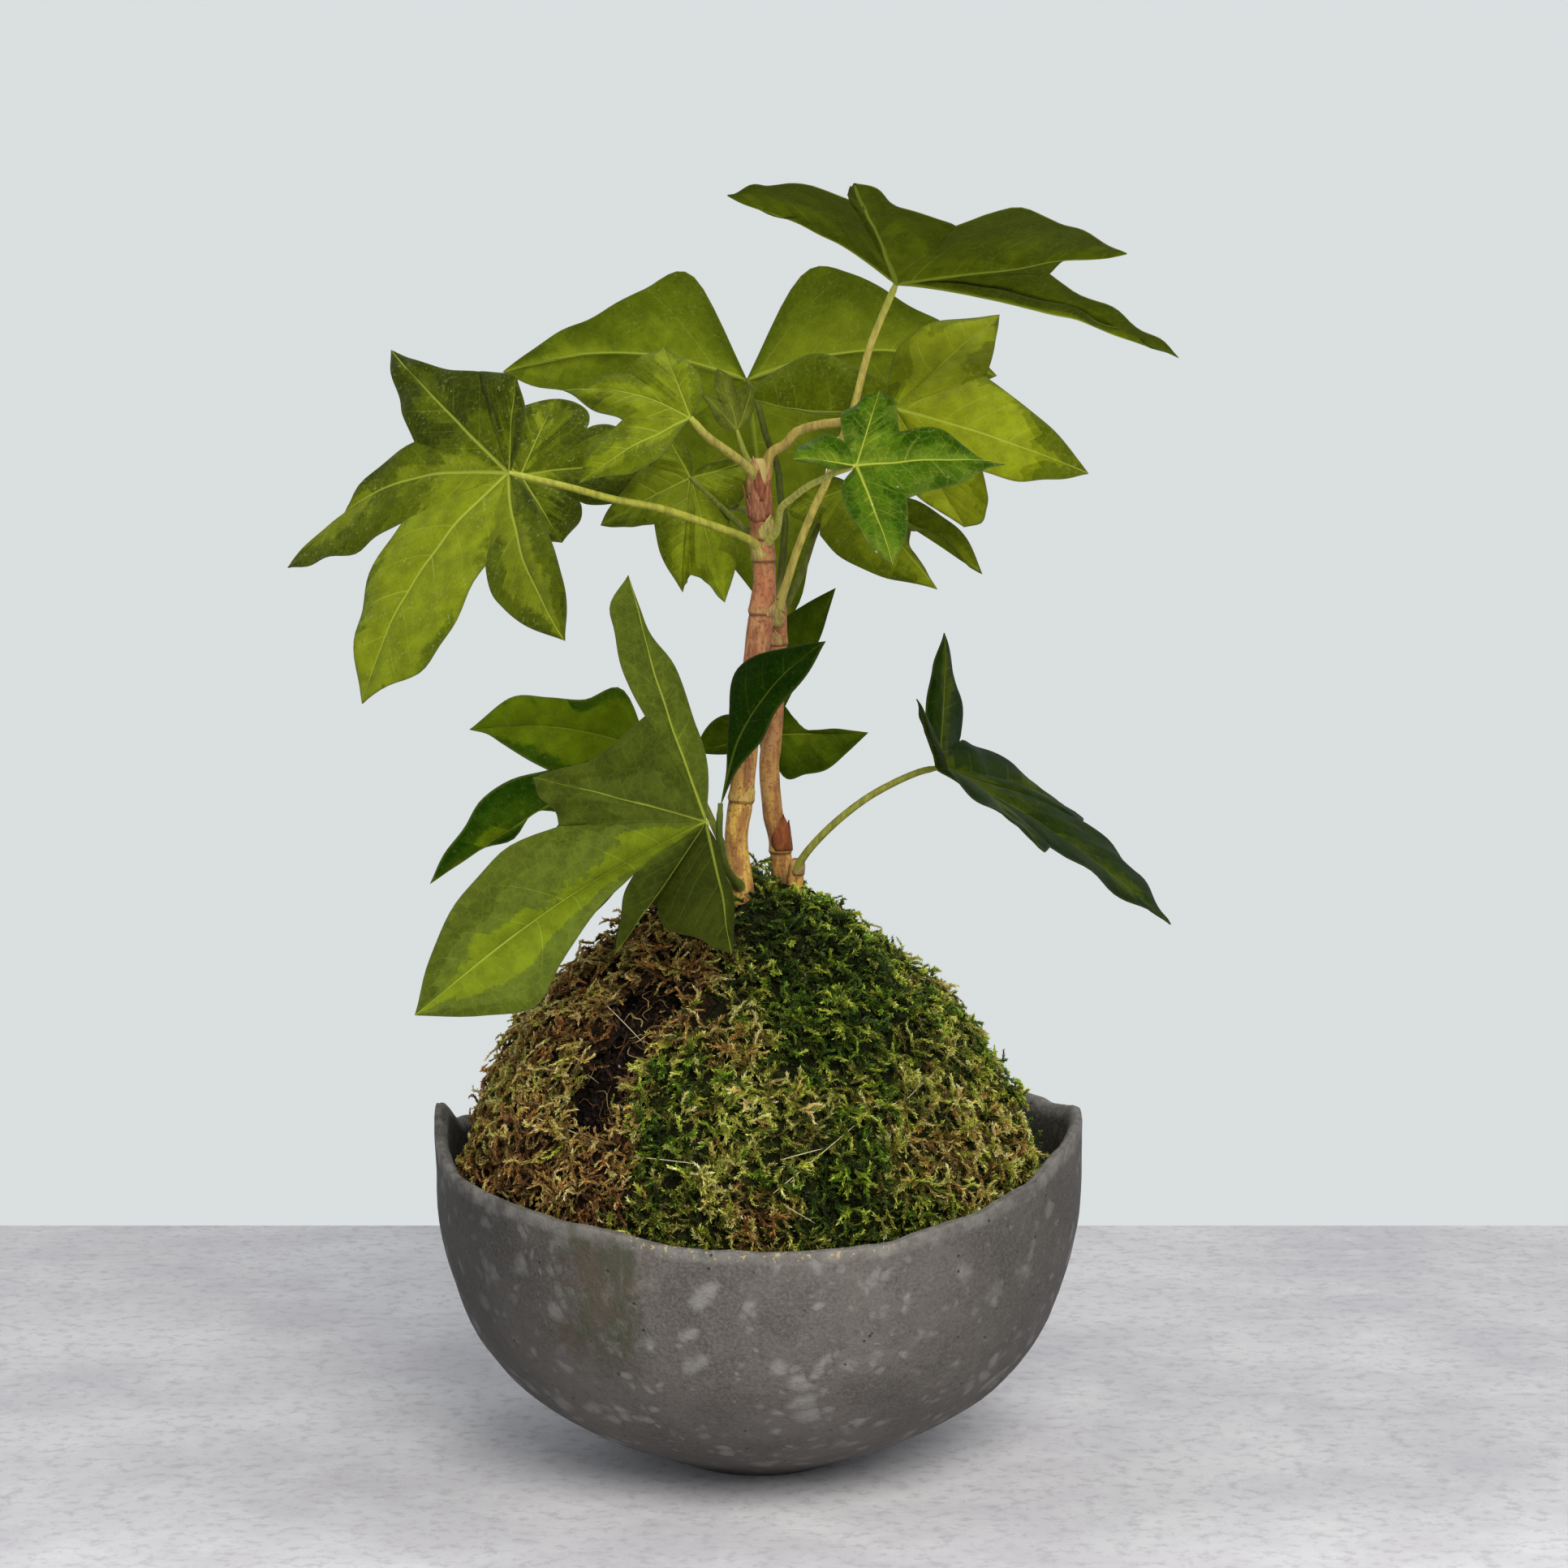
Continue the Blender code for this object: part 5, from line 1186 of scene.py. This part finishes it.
def outer_triangles(obj):
    """A node's triangles that look away from the ball's middle."""
    mesh = obj.data
    mesh.calc_loop_triangles()
    points = np.empty(len(mesh.vertices) * 3, np.float32)
    mesh.vertices.foreach_get("co", points)
    index = np.empty(len(mesh.loop_triangles) * 3, np.int32)
    mesh.loop_triangles.foreach_get("vertices", index)
    corners = points.reshape(-1, 3)[index].reshape(-1, 3, 3) / MM
    outward = unit(corners.mean(axis=1) - BALL_MIDDLE)
    return corners[(unit(face_normals(corners)) * outward).sum(axis=1) > LEAST_OUTWARD]


def rooted(corners, count, rng, weights):
    """Random points on triangles, in proportion to area times weight, with their normals."""
    cross = face_normals(corners)
    chance = np.linalg.norm(cross, axis=1) / 2 * weights
    pick = rng.choice(len(corners), count, p=chance / chance.sum())
    a, b = rng.random((2, count))
    flip = a + b > 1
    a[flip], b[flip] = 1 - a[flip], 1 - b[flip]
    c = corners[pick]
    places = c[:, 0] + (c[:, 1] - c[:, 0]) * a[:, None] + (c[:, 2] - c[:, 0]) * b[:, None]
    return places, unit(cross[pick])


def sprig_axis(places, up, tangent, across, rng, kind, layer):
    """Each sprig's curled axis, as a function of the share of the way along it."""
    count = len(places)
    spread = (rng.uniform(*kind.length, count) * (1.05 - 0.25 * layer))[:, None]
    curl = rng.normal(0, kind.curl, count)[:, None]
    rise = (rng.uniform(*kind.rise, count) * (0.7 + 0.5 * layer))[:, None]
    fall = rng.uniform(0.2, 1.1, count)[:, None] * rise
    sway = rng.uniform(0, ANY_WAY, count)[:, None]
    safe = np.where(np.abs(curl) < 0.05, 0.05, curl)

    def axis(t):
        turn = curl * t
        ahead = np.sin(turn) / safe
        aside = (1 - np.cos(turn)) / safe + 0.05 * np.sin(sway + t * 9)
        high = rise * t - fall * t ** 2 - 0.05
        return (places[:, None, :] + tangent[:, None, :] * (ahead * spread)[..., None]
                + across[:, None, :] * (aside * spread)[..., None]
                + up[:, None, :] * (high * spread)[..., None])

    return axis


def sprig_stems(axis, up, shades, kind):
    """Three-sided tapering stems: points, triangles and tints."""
    count = len(up)
    t = np.linspace(0, 1, SPRIG_ROWS)[None, :] + np.zeros((count, 1))
    line = axis(t)
    forward = unit(np.gradient(line, axis=1))
    side = unit(np.cross(forward, up[:, None, :]))
    other = np.cross(side, forward)
    radius = (kind.stem * (1.05 - 0.75 * t))[..., None]
    rings = [line + radius * (math.cos(a) * side + math.sin(a) * other) for a in SPRIG_STEM_ANGLES]
    faces = copied_faces(grid_faces(SPRIG_ROWS, 3, wrap=True), count)
    tint = np.repeat(shades * kind.stem_shade, SPRIG_ROWS * 3, axis=0)
    # Painted shade: each stem darker towards its root
    tint = tint * (0.35 + 0.65 * np.repeat(t.reshape(-1), 3))[:, None]
    return np.stack(rings, axis=2).reshape(-1, 3), faces, tint


def sprig_leaves(axis, up, shades, kind, rng):
    """Slim pointed leaves in turns round each stem: points and tints, three a leaf."""
    shape = (len(up), kind.leaves)
    at = (np.arange(kind.leaves) + 0.6) / kind.leaves
    t = np.clip(at[None, :] + rng.uniform(-0.4, 0.4, shape) / kind.leaves, 0.02, 1.0)
    root = axis(t)
    ahead = unit(axis(t + 0.02) - root)
    side = unit(np.cross(ahead, up[:, None, :]))
    other = np.cross(side, ahead)
    turn = np.arange(kind.leaves)[None, :] * LEAF_TURN + rng.uniform(0, ANY_WAY, (shape[0], 1))
    turn = turn + rng.normal(0, 0.25, shape)
    out = np.cos(turn)[..., None] * side + np.sin(turn)[..., None] * other * 0.8
    spread = rng.uniform(*kind.spread, shape)[..., None]
    point_to = unit(ahead * np.cos(spread) + out * np.sin(spread))
    flat = unit(np.cross(point_to, out + 1e-4))
    size = (rng.uniform(*kind.leaf, shape) * (1.10 - 0.50 * t ** 1.5))[..., None]
    wide = size * kind.width
    points = np.stack([root - flat * wide, root + point_to * size, root + flat * wide], axis=2)
    # Painted shade at the root and painted highlight at the tips, and now and then a leaf with a painted
    # glint
    shine = np.where(rng.random((t.size, 1)) < PAINTED_GLINT_SHARE, PAINTED_GLINT_GAIN, 1.0)
    base = np.repeat(shades, kind.leaves, axis=0) * rng.uniform(0.65, 1.35, (t.size, 1)) * shine
    base = base * (0.40 + 0.95 * t.reshape(-1, 1))
    tint = np.stack([base * share for share in (0.45, 2.15, 0.45)], axis=1)
    return points.reshape(-1, 3), tint.reshape(-1, 3)


def sprigs(name, places, normals, shades, kind, rng, material):
    """Curled moss sprigs with rows of tiny pointed leaves, all in one mesh."""
    up = unit(normals * 0.5 + unit(places - BALL_MIDDLE) * 0.5)
    heading = rng.normal(size=places.shape) + (0, 0, kind.droop)
    # Clumps stand proud of the hollows between them; painted shade makes sprigs in the hollows and buried
    # sprigs darker than the upper ones
    layer = rng.random(len(places))
    proud = np.clip((field(places, CLUMP_SIZE, 6) - 0.36) / 0.3, 0, 1)
    places = places + up * (CLUMP_HEIGHT * proud + BURIED * (layer - 0.75))[:, None]
    shades = shades * ((0.40 + 0.78 * proud) * (0.22 + 1.45 * layer ** 1.7))[:, None]
    tangent = unit(heading - up * (heading * up).sum(1, keepdims=True))
    axis = sprig_axis(places, up, tangent, np.cross(up, tangent), rng, kind, layer)
    stems, stem_faces, stem_tint = sprig_stems(axis, up, shades, kind)
    leaves, leaf_tint = sprig_leaves(axis, up, shades, kind, rng)
    leaf_faces = np.arange(len(leaves)).reshape(-1, 3) + len(stems)
    faces = np.concatenate([stem_faces, leaf_faces])
    obj = mesh_object(name, np.concatenate([stems, leaves]), faces, [material])
    add_tint(obj, np.concatenate([stem_tint, leaf_tint]).clip(0, 0.95))
    return obj


def green_dryness(places):
    """How dry the green mat is at each place: 0 fresh green to 1 brown."""
    value = 0.62 * field(places, 15.0, 3) + 0.30 * field(places, 5.0, 5) + 0.02
    for middle, reach, drier in PATCHES:
        value = value + drier * nearness(places, middle, reach)
    for middle, reach, even, most in EVEN:
        value = value + (even - value) * most * nearness(places, middle, reach)
    return value


def brown_dryness(places):
    """How dry the dry mat is: greener towards the top and the back, and darkest low on the left."""
    value = 0.79 + 0.5 * (field(places, 11.0, 8) - 0.5) + 0.3 * (field(places, 4.0, 4) - 0.5)
    behind, low = (places[:, 1] - 5) / 30, (95 - places[:, 2]) / 30
    return value - 0.20 * np.clip(behind, 0, 1) + 0.10 * np.clip(low, 0, 1)


def shades_for(value, places, rng):
    """A sprig's colour from how dry it is, drawn from four families."""
    value = value + rng.normal(0, 0.075, len(value))
    family = np.digitize(value, FAMILY_ENDS)
    made = np.array(FAMILIES)[family, rng.integers(0, 4, len(value))]
    bright = rng.uniform(0.65, 1.35, len(value))
    # Painted shade and painted light from their table
    for middle, reach, more in PAINTED_SHADE_AND_LIGHT:
        bright *= 1 + more * nearness(places, middle, reach)
    return made * bright[:, None]


def grow_sprigs(name, obj, kind, dryness, material):
    """The sprigs on one mat: none low in the bowl, in the holes or in the bare patch."""
    corners = outer_triangles(obj)
    middle = corners.mean(axis=1)
    weights = np.clip((middle[:, 2] - SPRIG_LOWEST) / 22, 0, 1)
    # More where they show
    weights = weights * (1.0 + 0.35 * np.clip(-middle[:, 1] / 50, -0.5, 1))
    made = []
    for part in range(kind.pieces):
        rng = np.random.default_rng(kind.seed + part)
        places, normals = rooted(corners, kind.count, rng, weights)
        keep = ~in_patch(places, PATCH_ROOM)
        for x, z, radius in HOLES:
            keep &= (np.hypot(places[:, 0] - x, places[:, 2] - z) > radius) | (places[:, 1] > 0)
        places, normals = places[keep], normals[keep]
        shades = shades_for(dryness(places), places, rng)
        made.append(sprigs("%s_%d" % (name, part + 1), places, normals, shades, kind, rng, material))
    return made


def make_crumbs(corners, rng, material):
    """Small uneven soil crumbs over the bare patch, thinner round it."""
    middle = corners.mean(axis=1)
    wide = (np.abs(middle[:, ::2] - PATCH_MIDDLE) < PATCH_REACH).all(axis=1) & (middle[:, 1] < 0)
    weights = np.where(in_patch(middle), 1.0, np.where(wide, 0.5, 0.0))
    places, normals = rooted(corners, CRUMBS, rng, weights)
    size = rng.gamma(2.2, 0.20, CRUMBS).clip(0.18, 1.3)[:, None]
    tips = np.array([(1, 0, 0), (-1, 0, 0), (0, 1, 0), (0, -1, 0), (0, 0, 1), (0, 0, -1)], float)
    shell = np.array([(0, 2, 4), (2, 1, 4), (1, 3, 4), (3, 0, 4), (2, 0, 5), (1, 2, 5), (3, 1, 5), (0, 3, 5)])
    shape = tips * rng.uniform(0.55, 1.25, (CRUMBS, len(tips), 3)) * size[..., None]
    turn = unit(rng.normal(size=(CRUMBS, 3)))
    other = unit(np.cross(turn, rng.normal(size=(CRUMBS, 3))))
    basis = np.stack([turn, other, np.cross(turn, other)], axis=1)
    points = np.einsum("nij,njk->nik", shape, basis) + (places + normals * size * 0.35)[:, None]
    obj = mesh_object("soil_crumbs", points.reshape(-1, 3), copied_faces(shell, CRUMBS), [material])
    pick = rng.choice(len(CRUMB_COLOURS), CRUMBS, p=CRUMB_SHARES)
    add_tint(obj, np.repeat(np.array(CRUMB_COLOURS)[pick], len(tips), axis=0))
    obj.data.shade_flat()
    return obj


def strands(name, rows, material, sides):
    """Thin tubes in one mesh, each from its line of points, radius and tint."""
    points, faces, colours = [], [], []
    start = 0
    for line, radius, tint in rows:
        taper = np.interp(np.linspace(0, 1, len(line)), (0, 0.1, 0.8, 1), (0.7, 1, 0.9, 0.3))
        made, found, _ = tube_arrays(line, radius * taper, sides)
        points.append(made)
        faces.append(found + start)
        colours.append(np.tile(tint, (len(made), 1)))
        start += len(made)
    obj = mesh_object(name, np.concatenate(points), np.concatenate(faces), [material])
    add_tint(obj, np.concatenate(colours))
    return obj


def make_roots(corners, rng, material):
    """Fine brown roots and fibres that cross the bare soil."""
    rows = []
    t = np.linspace(-1, 1, 8)
    for place, normal in zip(*rooted(corners, ROOTS, rng, in_patch(corners.mean(axis=1)) * 1.0)):
        heading = unit(np.cross(normal, rng.normal(size=3)))
        turn = np.cross(normal, heading)
        length = rng.uniform(1.2, 4.5)
        bend, sway = rng.uniform(-0.9, 0.9, 2)
        high = 0.4 + rng.uniform(0, 1.6) * (1 - t ** 2) + 0.5 * bend * t
        aside = length * (bend * t ** 2 + 0.4 * sway * np.sin(t * 4))
        line = place + heading * (t * length)[:, None] + normal * high[:, None] + turn * aside[:, None]
        radius = rng.uniform(0.07, 0.17)
        tint = np.array(ROOT_COLOURS)[rng.integers(0, 4)] * rng.uniform(0.7, 1.3)
        rows.append((line, radius, tint))
    return strands("root_fibres", rows, material, 4)


def make_straws(material):
    """Dry stalks that lie on the sprigs and follow the ball."""
    rows = []
    t = np.linspace(0, 1, 12)[:, None]
    for k, ends in enumerate(STRAWS):
        start, end = np.array(ends) - BALL_MIDDLE
        low, high = np.linalg.norm(start), np.linalg.norm(end)
        far = low + (high - low) * t + STRAW_LIFT + STRAW_BOW * np.sin(math.pi * t)
        line = BALL_MIDDLE + unit(start + (end - start) * t) * far
        tint = np.array(STRAW_COLOUR) * (1 - 0.05 * (k % 3))
        rows.append((line, STRAW_RADII[k >= THICK_STRAWS], tint))
    return strands("straws", rows, material, 6)


def rim_waves():
    """The rim's height and lean at each step round the bowl, eased all the way round."""
    azimuth, height, lean = np.array([*RIM_WAVE, (360, *RIM_WAVE[0][1:])]).T
    at = np.arange(BOWL_STEPS) * 360 / BOWL_STEPS
    row = np.searchsorted(azimuth, at, side="right") - 1
    share = (at - azimuth[row]) / (azimuth[row + 1] - azimuth[row])
    eased = share * share * (3 - 2 * share)
    return [wave[row] + (wave[row + 1] - wave[row]) * eased for wave in (height, lean)]


def make_bowl(material):
    """The turned and pinched bowl, with a softly rounded rim and faint thumb marks."""
    line = np.concatenate([smooth_route(BOWL_PROFILE, BOWL_ROW), BOWL_UNDERSIDE])
    line = np.maximum(line, (0.02, 0.0))
    angle = np.arange(BOWL_STEPS) * TURN / BOWL_STEPS
    radius, height = np.repeat(line.T[..., None], BOWL_STEPS, axis=2)
    share = np.clip((height - RIM_WAVE_STARTS) / (BOWL_TOP - RIM_WAVE_STARTS), 0, None)
    places = np.stack([np.cos(angle) * radius, np.sin(angle) * radius, height], axis=-1).reshape(-1, 3)
    push = lift = 0
    for size, pushed, lifted in BOWL_RELIEF:
        found = lumps(places, size).reshape(radius.shape)
        push, lift = push + found * pushed, lift + found * lifted
    waves, lean = rim_waves()
    out = lean * share ** 2 + push * np.minimum(1, height / RELIEF_FULL)
    radius = np.where(radius > 1, radius + out, radius)
    high = height + (waves - BOWL_TOP) * share + lift * np.clip((height - RIM_STARTS) / RIM_FULL, 0, 1)
    points = np.stack([np.cos(angle) * radius, np.sin(angle) * radius, high], axis=-1).reshape(-1, 3)
    points = np.concatenate([points, [(0, 0, BOWL_FLOOR), (0, 0, 0)]])
    # The profile starts inside, so its triangles are turned round to look out of the clay
    faces = capped_faces(len(line), BOWL_STEPS)[:, ::-1]
    obj = mesh_object("bowl_fine", points, faces, [material])
    worn = np.clip(1 + (height - BOWL_TOP + WORN_BAND) / WORN_FADE, 0, 1)
    add_layer(obj, "rim", [*worn.ravel(), 0, 0], domain="POINT")
    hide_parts("bowl")
    return obj


def make_stage():
    """A pale floor and wall, a soft lamp at the upper right front, one above, and the camera."""
    scene = bpy.context.scene
    mesh = bpy.data.meshes.new("floor")
    left, right, near, far = FLOOR
    mesh.from_pydata([(left, near, 0), (right, near, 0), (right, far, 0), (left, far, 0)], [], [(0, 1, 2, 3)])
    mesh.materials.append(floor_material())
    floor = placed("floor", mesh)
    world = bpy.data.worlds.new("soft_room")
    world.use_nodes = True
    tree = world.node_tree
    back = tree.nodes["Background"]
    back.inputs["Color"].default_value = (*WALL_COLOUR, 1)
    # The wall is seen at its own brightness and lights the object less
    seen = tree.nodes.new("ShaderNodeLightPath")
    level = tree.nodes.new("ShaderNodeMapRange")
    level.inputs["To Min"].default_value = WALL_LIGHT
    level.inputs["To Max"].default_value = 1.0
    tree.links.new(seen.outputs["Is Camera Ray"], level.inputs["Value"])
    tree.links.new(level.outputs[0], back.inputs["Strength"])
    scene.world = world
    for name, place, aim, size, power, colour in LIGHTS:
        light = bpy.data.lights.new(name, "AREA")
        light.shape = "DISK"
        light.size = size
        light.energy = power
        light.color = colour
        lamp = placed(name, light)
        lamp.location = place
        lamp.rotation_euler = (Vector(aim) - Vector(place)).to_track_quat("-Z", "Y").to_euler()
    camera = bpy.data.cameras.new("camera")
    camera.sensor_width = 36
    camera.lens = CAMERA_LENS
    camera.clip_start = 0.01
    camera.clip_end = 50
    viewer = placed("camera", camera)
    viewer.location = CAMERA_PLACE
    viewer.rotation_euler = (math.radians(90 - CAMERA_DOWN), 0, 0)
    scene.camera = viewer
    scene.view_settings.view_transform = "Standard"


def dress_leaves():
    looks = {name: blade_material("blade_" + name, look) for name, look in LOOKS.items()}
    stalks = {}
    for number, (name, leaf) in enumerate(LEAVES.items()):
        colour = PETIOLES.get(name, PETIOLE)
        if colour not in stalks:
            stalks[colour] = petiole_material("petiole_%d" % len(stalks), colour)
        rng = np.random.default_rng(100 + number)
        obj = make_leaf(name, leaf, looks[leaf.look], stalks[colour], rng)


def dress_stems():
    front = bark_material("bark_front", FRONT_RINGS, FRONT_BARK)
    back = bark_material("bark_back", BACK_RINGS, BACK_BARK)
    for name, route, rings, bark in (("stem_front", STEM_FRONT, FRONT_RINGS, front),
                                     ("stem_back", STEM_BACK, BACK_RINGS, back),
                                     ("stem_stub", STEM_STUB, (), back)):
        make_stem(name, route, rings, bark)
    routes = {"front": STEM_FRONT, "back": STEM_BACK, "stub": STEM_STUB}
    dry = grained_material("dry_bract", 0.7, (1500.0, 1500.0, 420.0), (0.55, 0.5, 0.5), 0.8, 0.15,
                           (0.35, 0.7))
    bracts = make_bracts(routes, dry, np.random.default_rng(11))


def dress_ball(nodes):
    """Moss sprigs over both mats, and crumbs, roots and straw."""
    under = {name: mat_material(name + "_mat", *shades) for name, shades in MATS.items()}
    under["root_ball"] = soil_material("damp_soil")
    for name, material in under.items():
        nodes[name].data.materials.clear()
        nodes[name].data.materials.append(material)
    fresh = moss_material("moss_sprig", 0.48)
    for obj in grow_sprigs("moss_sprigs", nodes["moss_green"], GREEN_SPRIG, green_dryness, fresh):
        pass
    dry = moss_material("dry_sprig", 0.60)
    for obj in grow_sprigs("dry_sprigs", nodes["moss_dry"], DRY_SPRIG, brown_dryness, dry):
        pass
    soil = outer_triangles(nodes["root_ball"])
    crumb = grained_material("crumb", 0.85, 1500.0, (0.7, 0.7, 0.7), 0.6)
    make_crumbs(soil, np.random.default_rng(21), crumb)
    strand = grained_material("strand", 0.7, 1500.0, (0.7, 0.7, 0.7), 0.6)
    make_roots(soil, np.random.default_rng(22), strand)
    make_straws(strand)


def main():
    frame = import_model()
    make_stage()
    bowl = make_bowl(bowl_material())
    dress_stems()
    dress_leaves()
    dress_ball(frame["nodes"])
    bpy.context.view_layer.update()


main()
